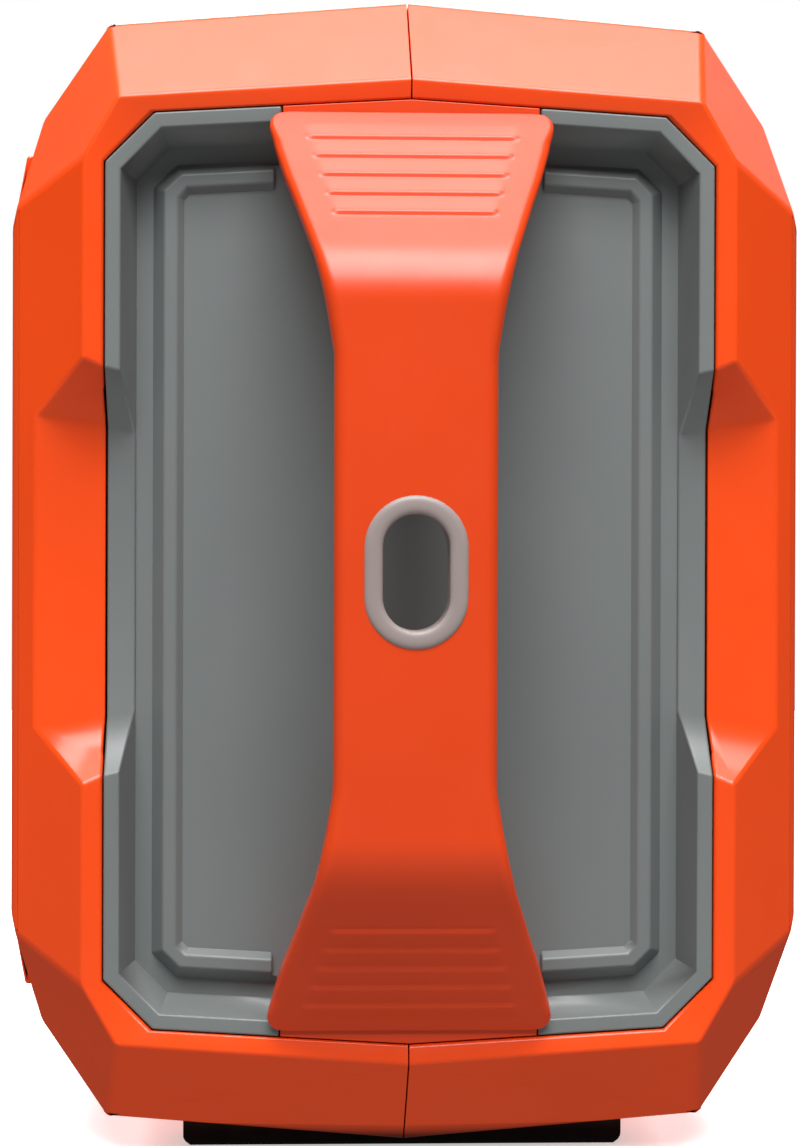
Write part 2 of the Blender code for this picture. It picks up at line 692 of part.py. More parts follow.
def hinge_ears(plate, name, flap):
    """Two lugs on a plate that hold a flap's pin."""
    left, right, height, _ = flap
    for k, x in enumerate(((left + 0.6, left + 4.6), (right - 4.6, right - 0.6))):
        lug = box(f"{name}_ear_{k}", x, (hinge_y() - KNUCKLE_RADIUS, FLOOR_Y + 1.0),
                  (height - KNUCKLE_RADIUS, height + KNUCKLE_RADIUS))
        join(plate, lug)
    bore = [(hinge_y() + y, height + h) for y, h in ring_points(PIN_RADIUS + 0.25, 14)]
    cut(plate, extrude(f"{name}_ear_bore", bore, "X", left, right))


def hinge_pin(name, flap):
    left, right, height, _ = flap
    outline = [(hinge_y() + y, height + h) for y, h in ring_points(PIN_RADIUS, 14)]
    made = extrude(name, outline, "X", left + 0.9, right - 0.9, ((0.4, 0.4, 0.41), 0.3, 1.0))
    return smooth_round(made)


def flap(name, dims, colour):
    """A shallow cover hung on a knuckle along its top edge. Its origin is on the hinge line."""
    left, right, height, bottom = dims
    origin = ((left + right) / 2, hinge_y(), height)
    knuckle = [(hinge_y() + y, height + h) for y, h in ring_points(KNUCKLE_RADIUS, 16)]
    made = extrude(name, knuckle, "X", left + 5.0, right - 5.0, (colour, 0.55), origin)
    top = height - 1.2
    face = [(x, h) for x, h in rounded_box(right - left, top - bottom - 2.4, 3.0,
                                           ((left + right) / 2, (top - 2.4 + bottom) / 2))]
    skin = (hinge_y() - KNUCKLE_RADIUS + 0.3, FLOOR_Y - GAP)
    cap = extrude(name + "_cap", face, "Y", *skin)
    neck = box(name + "_neck", (left + 5.0, right - 5.0), (skin[0], skin[0] + 1.6),
               (top - 4.6, height))
    join(made, cap, neck)
    inside = rounded_box(right - left - 3.6, top - bottom - 6.0, 2.0,
                         ((left + right) / 2, (top - 2.4 + bottom) / 2))
    cut(made, extrude(name + "_inside", inside, "Y", skin[0] + 1.6, FLOOR_Y + 2.0))
    bore = [(hinge_y() + y, height + h) for y, h in ring_points(PIN_RADIUS + 0.25, 14)]
    cut(made, extrude(name + "_bore", bore, "X", left, right))
    return smooth_round(made, 30.0)


def display():
    x, h, width, height = DISPLAY
    window = rounded_box(width, height, 3.0, (x, h))
    extrude("display_window", window, "Y", FLOOR_Y - 0.4, FLOOR_BACK_Y - 0.6,
            ((0.01, 0.012, 0.014), 0.08))
    module = ((x - width / 2 + 3, x + width / 2 - 3), (FLOOR_BACK_Y, FLOOR_BACK_Y + 3.4),
              (h - height / 2 + 3, h + height / 2 - 3))
    box("display_module", *module, look=((0.05, 0.07, 0.06), 0.4))


def lamp():
    x, h, width, height = LAMP
    loops = []
    for y, shrink in ((FLOOR_BACK_Y - 0.4, 0.0), (FLOOR_Y - 1.2, 0.0), (FLOOR_Y - 2.2, 1.2)):
        outline = rounded_box(width - 2 * shrink, height - 2 * shrink, 4.0, (x, h))
        loops.append([(px, y, ph) for px, ph in outline])
    loft("lamp_lens", loops, ((0.75, 0.77, 0.78), 0.25))
    box("lamp_board", (x - width / 2, x + width / 2), (FLOOR_BACK_Y + GAP, FLOOR_BACK_Y + 1.9),
        (h - height / 2, h + height / 2), ((0.7, 0.7, 0.68), 0.5))


def button(name):
    x, h, radius = BUTTONS[name]
    face = FLOOR_Y - BUTTON_PROUD
    profile = ((face, radius - 1.0), (face + 0.7, radius - 0.1), (FLOOR_BACK_Y + GAP, radius - 0.1),
               (FLOOR_BACK_Y + GAP, radius + BUTTON_FLANGE), (FLOOR_BACK_Y + 1.3, radius + BUTTON_FLANGE))
    return turned(name, profile, (x, h), (DARK, 0.4))


def hollow_port(name, outer, inner, depth, length, look):
    """A connector with a pocket that is open towards the front."""
    front = FLOOR_Y - 0.6
    made = extrude(name, outer, "Y", front, front + length, look)
    return cut(made, extrude(name + "_pocket", inner, "Y", front - 3.0, front + depth))


def ports():
    plastic = ((0.02, 0.02, 0.022), 0.4)
    for k, centre in enumerate(USB_A, 1):
        hollow_port(f"usb_a_port_{k}", rounded_box(*USB_A_BODY, 1.0, centre, 2),
                    rounded_box(*USB_A_MOUTH, 0.4, centre, 1), 11.0, 15.0, plastic)
    for k, centre in enumerate(USB_C, 1):
        hollow_port(f"usb_c_port_{k}", rounded_box(*USB_C_BODY, 2.6, centre, 4),
                    rounded_box(*USB_C_MOUTH, 1.55, centre, 4), 7.0, 10.0, plastic)
    for k, centre in enumerate(DC_JACKS, 1):
        jack = turned(f"dc_jack_{k}", ((FLOOR_Y - 0.6, DC_RADIUS), (FLOOR_Y + 13.0, DC_RADIUS)),
                      centre, plastic)
        cut(jack, turned(f"dc_jack_pocket_{k}", ((FLOOR_Y - 4.0, DC_BORE), (FLOOR_Y + 9.5, DC_BORE)),
                         centre))


def ac_outlet(side):
    """A two-blade outlet with a round earth hole under the blades."""
    x, h = AC_OUTLETS[side]
    name = "ac_outlet_" + side
    front = FLOOR_Y - 0.4
    made = extrude(name, rounded_box(*OUTLET_SIZE, 4.0, (x, h)), "Y", front, front + 24.0,
                   ((0.04, 0.04, 0.042), 0.45))
    for k, (dx, height) in enumerate(((-6.35, 8.6), (6.35, 7.4))):
        slot = rounded_box(2.2, height, 0.4, (x + dx, h + 4.0), 1)
        cut(made, extrude(f"{name}_slot_{k}", slot, "Y", front - 3.0, front + 16.0))
    earth = ring_points(2.6, 12, (x, h - 7.6))
    cut(made, extrude(name + "_earth", earth, "Y", front - 3.0, front + 16.0))
    return made


def car_socket():
    back = FLOOR_Y + CAR_DEPTH
    profile = ((FLOOR_Y - 1.2, CAR_RADIUS + 1.2), (FLOOR_Y - GAP, CAR_RADIUS + 1.2),
               (FLOOR_Y - GAP, CAR_RADIUS), (back + 2.0, CAR_RADIUS))
    made = turned("car_socket", profile, CAR_SOCKET, ((0.03, 0.03, 0.03), 0.5), sides=28)
    cut(made, turned("car_socket_bore", ((FLOOR_Y - 4.0, CAR_BORE), (back, CAR_BORE)),
                     CAR_SOCKET, sides=28))
    cut(made, turned("car_contact_hole", ((back - 12.0, 2.3), (back + 18.0, 2.3)),
                     CAR_SOCKET, sides=14))
    contact = ((back - 3.0, 3.4), (back - GAP, 3.4), (back - GAP, 2.0), (back + 5.0, 2.0))
    turned("car_socket_contact", contact, CAR_SOCKET, ((0.6, 0.42, 0.15), 0.3, 1.0), sides=14)


def control_board():
    y = FLOOR_BACK_Y + 5.2
    box("control_board", (-82.0, 84.0), (y, y + 1.6), (-4.0, 57.0), ((0.01, 0.12, 0.04), 0.5))


# ---------------------------------------------------------------- the rear

def vent_grille():
    x, h, size = GRILLE
    back = SIDE[0] - BEZEL_SEAT + GAP
    made = extrude("vent_grille", rounded_box(size, size, 6.0 - GAP, (x, h)), "Y",
                   back, SIDE[0] + BEZEL_PROUD, (DARK, 0.55))
    pitch = (size - 22.0) / (GRILLE_SLOTS - 1)
    for k in range(GRILLE_SLOTS):
        level = h + pitch * (k - (GRILLE_SLOTS - 1) / 2)
        slot = rounded_box(size - 20.0, GRILLE_SLOT_WIDTH, 1.5, (x, level), 2)
        cut(made, extrude(f"grille_slot_{k}", slot, "Y", back - 3.0, 95.0))
    return made


def fan():
    """A square fan. The hub's post stands on a spider at the inner face, and the rotor turns on it."""
    x, h, _ = GRILLE
    outer = SIDE[0] - SIDE_WALL - GAP
    inner = outer - FAN_DEPTH
    frame = extrude("fan_frame", rounded_box(FAN_SIZE, FAN_SIZE, 4.0, (x, h)), "Y", inner, outer,
                    ((0.02, 0.02, 0.02), 0.5))
    cut(frame, turned("fan_duct", ((inner - 3.0, 37.5), (outer + 3.0, 37.5)), (x, h), sides=32))
    hub = turned("fan_post_base", ((inner, 15.0), (inner + 2.2, 15.0)), (x, h))
    join(frame, hub)
    for k, outline in enumerate((((x - 39.0, h - 2.0), (x + 39.0, h - 2.0), (x + 39.0, h + 2.0),
                                  (x - 39.0, h + 2.0)),
                                 ((x - 2.0, h - 39.0), (x + 2.0, h - 39.0), (x + 2.0, h + 39.0),
                                  (x - 2.0, h + 39.0)))):
        join(frame, extrude(f"fan_spider_{k}", outline, "Y", inner + 0.1, inner + 2.1))
    join(frame, turned("fan_post", ((inner + 1.0, 2.0), (outer - 6.0, 2.0)), (x, h), sides=14))
    rotor = turned("fan_rotor", ((inner + 3.0, 15.0), (outer - 3.0, 15.0)), (x, h),
                   ((0.02, 0.02, 0.02), 0.45))
    for k in range(FAN_BLADES):
        join(rotor, fan_blade(k, x, h, inner + 4.5, outer - 4.5))
    cut(rotor, turned("rotor_bore", ((inner - 2.0, 2.3), (outer - 5.0, 2.3)), (x, h), sides=14))


def fan_blade(number, x, h, near, far):
    """One twisted blade from the hub to just inside the duct."""
    start = 2 * math.pi * number / FAN_BLADES
    loops = []
    for radius, sweep in ((13.0, 0.42), (24.0, 0.36), (36.0, 0.30)):
        loop = []
        for y, angle, shift in ((near, start - sweep, 0.0), (near, start - sweep, 1.5),
                                (far, start + sweep, 1.5), (far, start + sweep, 0.0)):
            turn = angle + shift / radius
            loop.append((x + radius * math.cos(turn), y, h + radius * math.sin(turn)))
        loops.append(loop)
    return loft(f"fan_blade_{number}", loops)


def charge_inlet():
    skin = SIDE[0]
    profile = ((skin - 18.0, INLET_RADIUS), (skin + GAP, INLET_RADIUS), (skin + GAP, INLET_FLANGE),
               (skin + BEZEL_PROUD, INLET_FLANGE))
    made = turned("charge_inlet", profile, INLET, ((0.02, 0.02, 0.022), 0.4))
    pocket = ((skin - 12.0, INLET_BORE), (skin + 5.0, INLET_BORE))
    cut(made, turned("charge_inlet_pocket", pocket, INLET))


# ---------------------------------------------------------------- the inside

def battery():
    for name, x in (("left", (-88.0, -1.0)), ("right", (1.0, 88.0))):
        box("battery_module_" + name, x, BATTERY_Y, BATTERY_H, ((0.02, 0.07, 0.16), 0.45))
    low = BATTERY_H[0]
    tray = box("battery_tray", (-97.0, 97.0), (BATTERY_Y[0] - 3.0, BATTERY_Y[1] + 3.0),
               (low - 3.0, low + 12.0), ((0.03, 0.03, 0.03), 0.6))
    cut(tray, box("tray_inside", (-95.0, 95.0), (BATTERY_Y[0] - 0.5, BATTERY_Y[1] + 0.5),
                  (low - GAP, low + 20.0)))


def inner_frame():
    """A bridge of sheet metal over the battery, which carries the inverter."""
    foot = BATTERY_H[0]
    deck = BATTERY_H[1] + 3.0
    outline = ((-92.0, foot), (-90.0, foot), (-90.0, deck), (90.0, deck), (90.0, foot), (92.0, foot),
               (92.0, deck + 2.0), (-92.0, deck + 2.0))
    extrude("inner_frame", outline, "Y", -27.0, 59.0, ((0.55, 0.56, 0.57), 0.4, 1.0))


def inverter():
    deck = BATTERY_H[1] + 5.0 + GAP
    board = deck + 7.6
    made = box("inverter_board", (-88.0, 88.0), (-26.0, 52.0), (board - 1.6, board),
               ((0.01, 0.10, 0.04), 0.5))
    for k, (x, y) in enumerate(((-82.0, -20.0), (82.0, -20.0), (-82.0, 46.0), (82.0, 46.0))):
        corners = ring_points(3.0, 8, (x, y))
        join(made, extrude(f"standoff_{k}", corners, "Z", deck, board - 1.0))
    base = board + GAP
    sink = box("heat_sink", (-10.0, 78.0), (-4.0, 50.0), (base, base + 46.0),
               ((0.6, 0.61, 0.62), 0.35, 1.0))
    for k in range(8):
        x = -6.5 + 10.6 * k
        cut(sink, box(f"fin_gap_{k}", (x, x + 7.2), (-9.0, 56.0), (base + 6.0, base + 60.0)))
    box("transformer", (-60.0, -22.0), (4.0, 44.0), (base, base + 38.0), ((0.35, 0.2, 0.08), 0.5))
    for k, y in enumerate((-12.0, 14.0), 1):
        corners = ring_points(10.0, 18, (-74.0, y))
        made = extrude(f"filter_capacitor_{k}", corners, "Z", base, base + 36.0,
                       ((0.02, 0.03, 0.08), 0.35))
        smooth_round(made)


def bms_board():
    y = BATTERY_Y[1] + 5.0
    box("bms_board", (-60.0, 60.0), (y, y + 1.6), (-92.0, -50.0), ((0.01, 0.12, 0.04), 0.5))


# ---------------------------------------------------------------- the whole

def main():
    clear_scene()
    front_shell()
    rear_shell()
    shell_screws()
    for end in (-1, 1):
        end_panel(end)
        handle(end)
        handle_grommet(end)
        handle_screws(end)
        foot_bar(end)
    front_bezel()
    control_panel()
    port_panel()
    display()
    lamp()
    for name in BUTTONS:
        button(name)
    ports()
    for side in AC_OUTLETS:
        ac_outlet(side)
    car_socket()
    flap("ac_cover", AC_FLAP, DARK)
    hinge_pin("ac_cover_pin", AC_FLAP)
    flap("car_socket_cap", CAR_FLAP, DARK)
    hinge_pin("car_socket_cap_pin", CAR_FLAP)
    control_board()
    vent_grille()
    fan()
    charge_inlet()
    battery()
    inner_frame()
    inverter()
    bms_board()


main()
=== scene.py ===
"""Looks of the portable power station.

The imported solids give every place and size. This script copies or rebuilds the
visible ones with rounded edges and finer shapes, adds the trim that is too
small to model as solids, and gives every surface a procedural material.

Lengths in this script are millimetres, and to_world() turns them into the
frame's metres; the floor, the lamps and the camera are in metres. Heights are
counted from the middle of the body. Depths at an end are counted inwards from
the plane of its rim.
"""

import json
import math

import bmesh
import bpy
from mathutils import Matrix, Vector

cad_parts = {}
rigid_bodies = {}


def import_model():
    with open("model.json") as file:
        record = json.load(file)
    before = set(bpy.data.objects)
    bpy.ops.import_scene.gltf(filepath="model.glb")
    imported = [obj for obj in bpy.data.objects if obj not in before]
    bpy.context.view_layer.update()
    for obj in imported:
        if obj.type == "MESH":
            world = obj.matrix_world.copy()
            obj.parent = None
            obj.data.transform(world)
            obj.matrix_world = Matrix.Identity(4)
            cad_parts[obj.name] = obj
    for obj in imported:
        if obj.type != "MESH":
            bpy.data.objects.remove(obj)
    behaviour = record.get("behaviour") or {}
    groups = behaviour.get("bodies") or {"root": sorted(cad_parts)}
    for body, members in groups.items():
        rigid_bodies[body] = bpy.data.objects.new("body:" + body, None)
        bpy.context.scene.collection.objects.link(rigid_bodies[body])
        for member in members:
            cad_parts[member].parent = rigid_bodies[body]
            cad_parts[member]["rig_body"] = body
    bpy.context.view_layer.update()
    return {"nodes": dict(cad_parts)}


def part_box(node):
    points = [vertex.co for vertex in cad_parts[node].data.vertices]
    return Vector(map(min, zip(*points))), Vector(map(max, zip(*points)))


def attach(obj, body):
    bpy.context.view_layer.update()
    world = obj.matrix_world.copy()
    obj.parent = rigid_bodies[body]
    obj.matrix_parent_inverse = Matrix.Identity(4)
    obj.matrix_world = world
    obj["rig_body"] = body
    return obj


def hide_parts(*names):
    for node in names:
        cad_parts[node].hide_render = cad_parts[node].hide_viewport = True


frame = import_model()

MM = 0.001

# Places that the frame gives
SHELL_LOW, SHELL_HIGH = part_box("front_shell")
MID_Z = (SHELL_LOW.z + SHELL_HIGH.z) / 2 / MM
RIM_X = SHELL_HIGH.x / MM
GRIP_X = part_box("handle_right")[1].x / MM
FLOOR_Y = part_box("display_window")[0].y / MM + 0.4       # the face that the controls stand on
REAR_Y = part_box("rear_shell")[1].y / MM

# Handle sizes, as the CAD has them
GRIP_PROUD = GRIP_X - RIM_X
GRIP_THICKNESS = 9.5
BEND_HEIGHT, BEND_HALF_LENGTH = 62.3, 6.6
PAD_END, PAD_CLEARANCE, PAD_CORNER = 98.7, 0.5, 4.2
RAMP = GRIP_PROUD / (PAD_END - BEND_HEIGHT)
WIDTH_STEPS = (                          # (height, half width) down the flared end
    (0.0, 16.93), (45.0, 16.93), (48.5, 17.5), (54.0, 18.4), (60.0, 19.6), (66.0, 21.1),
    (71.0, 22.8), (77.0, 24.9), (83.0, 27.1), (89.0, 29.0), (94.0, 30.3), (98.7, 31.3),
)
OUTER_EDGE, INNER_EDGE = 2.6, 1.7        # radii of the handle's long edges
BASE_HALF_WIDTH, BASE_BOTTOM, BASE_DEPTH = 27.7, 89.0, 14.3
BASE_TOP, BASE_TOP_RISE = 101.75, 0.0598
BASE_SHOULDER = BASE_TOP - BASE_TOP_RISE * BASE_HALF_WIDTH
NECK_HEIGHT, NECK_MIDDLE, NECK_CORNER = 7.9, 93.5, 2.0
HOLE_SIZE, RING_SIZE, SLEEVE_SIZE = (13.8, 24.1), (21.6, 32.0), (17.4, 27.8)
RING_PROUD, RING_SEAT, RING_SUNK = 0.7, 0.7, 0.45
BEAD_STEPS, BEAD_FULLNESS = 20, 0.8      # an exponent below 1 makes the bead fuller than round

# Points around one half of the handle's section
FACE_STEPS, OUTER_EDGE_STEPS, INNER_EDGE_STEPS, BACK_STEPS = 36, 6, 5, 5

# Strips behind the seam between the halves
SEAL_LOW, SEAL_TOP, SEAL_INSET, SEAL_HALF_THICKNESS = 102.0, 127.4, 34.0, 0.14

# Rounding of the shells' edges, and the zones where each applies
SEAM_ROUNDING, HOLE_ROUNDING, RIM_ROUNDING = 0.15, 0.3, 0.75
CHAMFER_ROUNDING, SKIN_ROUNDING = 2.9, 1.3
SEAM_ZONE, RIM_ZONE, PANEL_ZONE = 0.3, 1.3, 14.7
NOTCH_HEIGHT, NOTCH_SIDE, NOTCH_DEPTH = 46.0, 57.0, 14.0

# The shells' outer skin: side plane, the height where it starts to lean in, and the sloping roof
SIDE_Y, LEAN_FROM, LEAN = 87.4, 75.0, 0.2346
ROOF, ROOF_HALF_WIDTH, ROOF_FALL = 121.0, 66.0, 1.373
# The five lines across each pad
LINE_COUNT = 5
LINE_TOP, LINE_PITCH = 92.6, 4.4
LINE_REACH, LINE_STEP = 23.1, 1.35       # half length of the longest, and what each next one loses
LINE_END = 1.3                           # length over which a line fades out at its ends
LINE_SHAPE = (                           # (distance outwards from the line, rise) across one line
    (-1.0, 0.0), (-0.85, -0.1), (-0.65, -0.1), (0.35, 0.52), (0.6, 0.6), (0.95, 0.56), (3.2, 0.0),
)

# Where the controls are: centre x, centre height, then sizes
BUTTONS = {
    "power_button": (24.0, 36.0, 8.0),
    "light_button": (60.0, 18.0, 5.5),
    "ac_button": (44.0, 4.0, 5.5),
    "dc_button": (-44.0, 4.0, 5.5),
}
DISPLAY = (-32.0, 34.0, 76.0, 38.0)
LAMP = (60.0, 40.0, 44.0, 20.0)
CAR_SOCKET = (-30.0, -40.8)
DC_JACKS = ((-70.0, -34.0), (-70.0, -50.0))
USB_A = ((-74.0, -14.0), (-54.0, -14.0))
USB_C = ((-34.0, -14.0), (-18.0, -14.0))
INLET, INLET_PROUD = (-60.0, 22.0), 0.8
SCREWS = [(x, h) for x in (-110.0, 110.0) for h in (-62.0, 62.0)]

ORANGE = (0.87, 0.068, 0.005)
GRIP_ORANGE = (0.70, 0.052, 0.005)
GREY = (0.160, 0.176, 0.174)
BLACK = (0.022, 0.023, 0.024)


# ---------------------------------------------------------------- small tools

def to_world(point):
    return Vector((point[0] * MM, point[1] * MM, (point[2] + MID_Z) * MM))


def add_piece(name, mesh, body, material, replaced=()):
    """A finished object that rides on a body and takes the place of CAD nodes, if any are named."""
    piece = bpy.data.objects.new(name, mesh)
    bpy.context.scene.collection.objects.link(piece)
    mesh.materials.clear()
    mesh.materials.append(material)
    if replaced:
        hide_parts(*replaced)
    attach(piece, body)
    return piece


def mesh_from(name, points, faces):
    """A closed mesh from points in millimetres, with its faces turned outwards."""
    mesh = bpy.data.meshes.new(name)
    mesh.from_pydata([to_world(p) for p in points], [], faces)
    edited = bmesh.new()
    edited.from_mesh(mesh)
    bmesh.ops.recalc_face_normals(edited, faces=edited.faces)
    edited.to_mesh(mesh)
    edited.free()
    mesh.shade_smooth()
    return mesh


def ring_faces(count, rows, start=0):
    """Quads between rings of points, plus a cap on each end."""
    faces = [tuple(start + k for k in range(count)),
             tuple(start + (rows - 1) * count + k for k in range(count))[::-1]]
    for row in range(rows - 1):
        for k in range(count):
            a, b = start + row * count + k, start + row * count + (k + 1) % count
            faces.append((a, b, b + count, a + count))
    return faces


def loft_mesh(name, rings):
    points = [p for ring in rings for p in ring]
    return mesh_from(name, points, ring_faces(len(rings[0]), len(rings)))


def round_edges(piece, width):
    """Rounds every edge sharper than 28 degrees, and keeps the flat faces flat."""
    bevel = piece.modifiers.new("rounding", "BEVEL")
    bevel.width = width * MM
    bevel.segments = 3
    bevel.limit_method = "ANGLE"
    bevel.angle_limit = math.radians(28.0)
    bevel.use_clamp_overlap = False
    even_shading(piece)
    return piece


def even_shading(piece):
    shading = piece.modifiers.new("shading", "WEIGHTED_NORMAL")
    shading.keep_sharp = True
    shading.weight = 80


def cut_by(piece, tool_mesh):
    """Cuts a hole in a piece at once, so that no cutter stays in the scene."""
    tool = bpy.data.objects.new("cutter", tool_mesh)
    bpy.context.scene.collection.objects.link(tool)
    modifier = piece.modifiers.new("hole", "BOOLEAN")
    modifier.operation = "DIFFERENCE"
    modifier.object = tool
    bpy.context.view_layer.update()
    evaluated = piece.evaluated_get(bpy.context.evaluated_depsgraph_get())
    piece.data = bpy.data.meshes.new_from_object(evaluated)
    piece.modifiers.clear()
    bpy.data.objects.remove(tool)
    return piece


def circle(radius, centre=(0.0, 0.0), sides=64):
    return [(centre[0] + radius * math.cos(2 * math.pi * k / sides),
             centre[1] + radius * math.sin(2 * math.pi * k / sides)) for k in range(sides)]


def rounded_box(width, height, radius, centre=(0.0, 0.0), steps=8):
    outline = []
    for quarter, (sx, sy) in enumerate(((1, 1), (-1, 1), (-1, -1), (1, -1))):
        cx = centre[0] + sx * (width / 2 - radius)
        cy = centre[1] + sy * (height / 2 - radius)
        for k in range(steps + 1):
            angle = math.pi / 2 * (quarter + k / steps)
            outline.append((cx + radius * math.cos(angle), cy + radius * math.sin(angle)))
    return outline


def stadium(size, grow):
    width, height = size[0] + 2 * grow, size[1] + 2 * grow
    return rounded_box(width, height, width / 2 - 0.01, steps=12)


def closed(outline):
    """An outline that ends where it starts, as ribbons() takes it."""
    return outline + outline[:1]


def turned(name, profile, centre, body, material, replaced=(), edge=0.25, sides=64):
    """A body of revolution about a line along Y. The profile holds (y, radius) pairs."""
    rings = [[(x, y, h) for x, h in circle(radius, centre, sides)] for y, radius in profile]
    piece = add_piece(name, loft_mesh(name, rings), body, material, replaced)
    return round_edges(piece, edge)


def slab(name, outline, y_front, y_back, body, material, replaced=(), edge=0.2):
    """An outline in (x, height), given a thickness along Y."""
    rings = [[(x, y, h) for x, h in outline] for y in (y_front, y_back)]
    piece = add_piece(name, loft_mesh(name, rings), body, material, replaced)
    return round_edges(piece, edge) if edge else piece


def ribbons(name, strokes, width, y, thickness, body, material):
    """Flat strokes on a face that looks along -Y. A stroke is a list of (x, height) points."""
    points, faces = [], []
    for stroke in strokes:
        start = len(points)
        closed = stroke[0] == stroke[-1]
        line = stroke[:-1] if closed else stroke
        count = len(line)
        for k, here in enumerate(line):
            before = line[k - 1] if k or closed else here
            after = line[(k + 1) % count] if k < count - 1 or closed else here
            along = Vector((after[0] - before[0], after[1] - before[1])).normalized()
            for side in (-1, 1):
                x, h = here[0] - side * along.y * width / 2, here[1] + side * along.x * width / 2
                points += [(x, y, h), (x, y - thickness, h)]
        for k in range(count if closed else count - 1):
            a, b = start + 4 * k, start + 4 * ((k + 1) % count)
            faces += [(a, b, b + 1, a + 1), (a + 1, b + 1, b + 3, a + 3),
                      (a + 3, b + 3, b + 2, a + 2), (a + 2, b + 2, b, a)]
        if not closed:
            last = start + 4 * (count - 1)
            faces += [(start, start + 1, start + 3, start + 2),
                      (last, last + 2, last + 3, last + 1)]
    mesh = mesh_from(name, points, faces)
    mesh.shade_flat()
    return add_piece(name, mesh, body, material)


# ---------------------------------------------------------------- rounded copies of CAD solids

def merged_mesh(node):
    """A CAD node's mesh with its triangles joined back into flat faces."""
    edited = bmesh.new()
    edited.from_mesh(frame["nodes"][node].data)
    bmesh.ops.remove_doubles(edited, verts=edited.verts, dist=1e-5)
    bmesh.ops.dissolve_limit(edited, angle_limit=math.radians(1.2), verts=edited.verts,
                             edges=edited.edges)
    mesh = bpy.data.meshes.new(node + "_finish")
    edited.to_mesh(mesh)
    edited.free()
    for name in ("custom_normal", "sharp_face"):
        if name in mesh.attributes:
            mesh.attributes.remove(mesh.attributes[name])
    mesh.shade_smooth()
    return mesh


def softened(node, material, radius_of, segments=3, sharp_from=24.0):
    """A copy of a CAD node with rounded edges, each as wide as radius_of(middle, normals) says."""
    mesh = merged_mesh(node)
    edited = bmesh.new()
    edited.from_mesh(mesh)
    weight = edited.edges.layers.float.new("bevel_weight_edge")
    widths = {}
    for edge in edited.edges:
        if len(edge.link_faces) != 2 or edge.calc_face_angle() < math.radians(sharp_from / 2):
            continue
        middle = (edge.verts[0].co + edge.verts[1].co) / 2 / MM
        middle.z -= MID_Z
        normals = [face.normal for face in edge.link_faces]
        widths[edge] = radius_of(middle, normals) if edge.is_convex else 0.0
        if not widths[edge] and edge.calc_face_angle() > math.radians(sharp_from):
            edge.smooth = False
    largest = max(widths.values(), default=0.0)
    for edge, width in widths.items():
        edge[weight] = width / largest if largest else 0.0
    edited.to_mesh(mesh)
    edited.free()
    body = frame["nodes"][node]["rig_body"]
    piece = add_piece(node + "_finish", mesh, body, material, (node,))
    bevel = piece.modifiers.new("rounding", "BEVEL")
    bevel.width = largest * MM
    bevel.segments = segments
    bevel.limit_method = "WEIGHT"
    bevel.use_clamp_overlap = False
    even_shading(piece)
    return piece


def all_edges(width):
    return lambda middle, normals: width


def shell_edge(middle, normals):
    """Broad rounding where the side meets its chamfer, finer on the other outer edges."""
    x, y, h = (abs(value) for value in middle)
    if y < SEAM_ZONE:
        return SEAM_ROUNDING
    across = sorted(abs(n.y) for n in normals)
    if across[0] < 0.1 and across[-1] > 0.99:    # a hole cut straight into a side
        return HOLE_ROUNDING
    in_notch = h < NOTCH_HEIGHT and y > NOTCH_SIDE and x > RIM_X - NOTCH_DEPTH
    if x > RIM_X - RIM_ZONE or in_notch:
        return RIM_ROUNDING
    if not is_outside(x, y, h):
        return 0.0
    on_chamfer = max(abs(n.x) for n in normals) > 0.3
    return CHAMFER_ROUNDING if on_chamfer and h < 74.0 and y > 80.0 else SKIN_ROUNDING


def is_outside(x, y, h):
    """Whether a place lies on the outer skin rather than inside a half."""
    side = SIDE_Y - max(h - LEAN_FROM, 0.0) * LEAN
    roof = ROOF - max(y - ROOF_HALF_WIDTH, 0.0) * ROOF_FALL
    if h > roof - 1.5 or y > side - 0.6:
        return True
    return x > 110.0 and (y > 69.5 or h > 88.0) and x + 0.4 * y + 0.4 * h > 138.0


def panel_edge(middle, normals):
    return 0.45 if abs(middle.x) > RIM_X - PANEL_ZONE else 0.0


# ---------------------------------------------------------------- materials

def new_material(name, colour, roughness, metallic=0.0, **sockets):
    material = bpy.data.materials.new(name)
    material.use_nodes = True
    shader = material.node_tree.nodes["Principled BSDF"]
    shader.inputs["Base Color"].default_value = (*colour, 1.0)
    shader.inputs["Roughness"].default_value = roughness
    shader.inputs["Metallic"].default_value = metallic
    for socket, value in sockets.items():
        shader.inputs[socket.replace("_", " ")].default_value = value
    return material


def noise(tree, size, detail=2.0, stretch=(1.0, 1.0, 1.0)):
    """A noise whose lumps are about a size across, in millimetres."""
    place = tree.nodes.new("ShaderNodeTexCoord")
    mapping = tree.nodes.new("ShaderNodeMapping")
    mapping.inputs["Scale"].default_value = stretch
    texture = tree.nodes.new("ShaderNodeTexNoise")
    texture.inputs["Scale"].default_value = 1.0 / (size * MM)
    texture.inputs["Detail"].default_value = detail
    tree.links.new(place.outputs["Object"], mapping.inputs["Vector"])
    tree.links.new(mapping.outputs["Vector"], texture.inputs["Vector"])
    return texture.outputs["Fac"]


def spread(tree, source, low, high, start=0.35, end=0.65):
    span = tree.nodes.new("ShaderNodeMapRange")
    span.inputs["From Min"].default_value = start
    span.inputs["From Max"].default_value = end
    span.inputs["To Min"].default_value = low
    span.inputs["To Max"].default_value = high
    tree.links.new(source, span.inputs["Value"])
    return span.outputs["Result"]


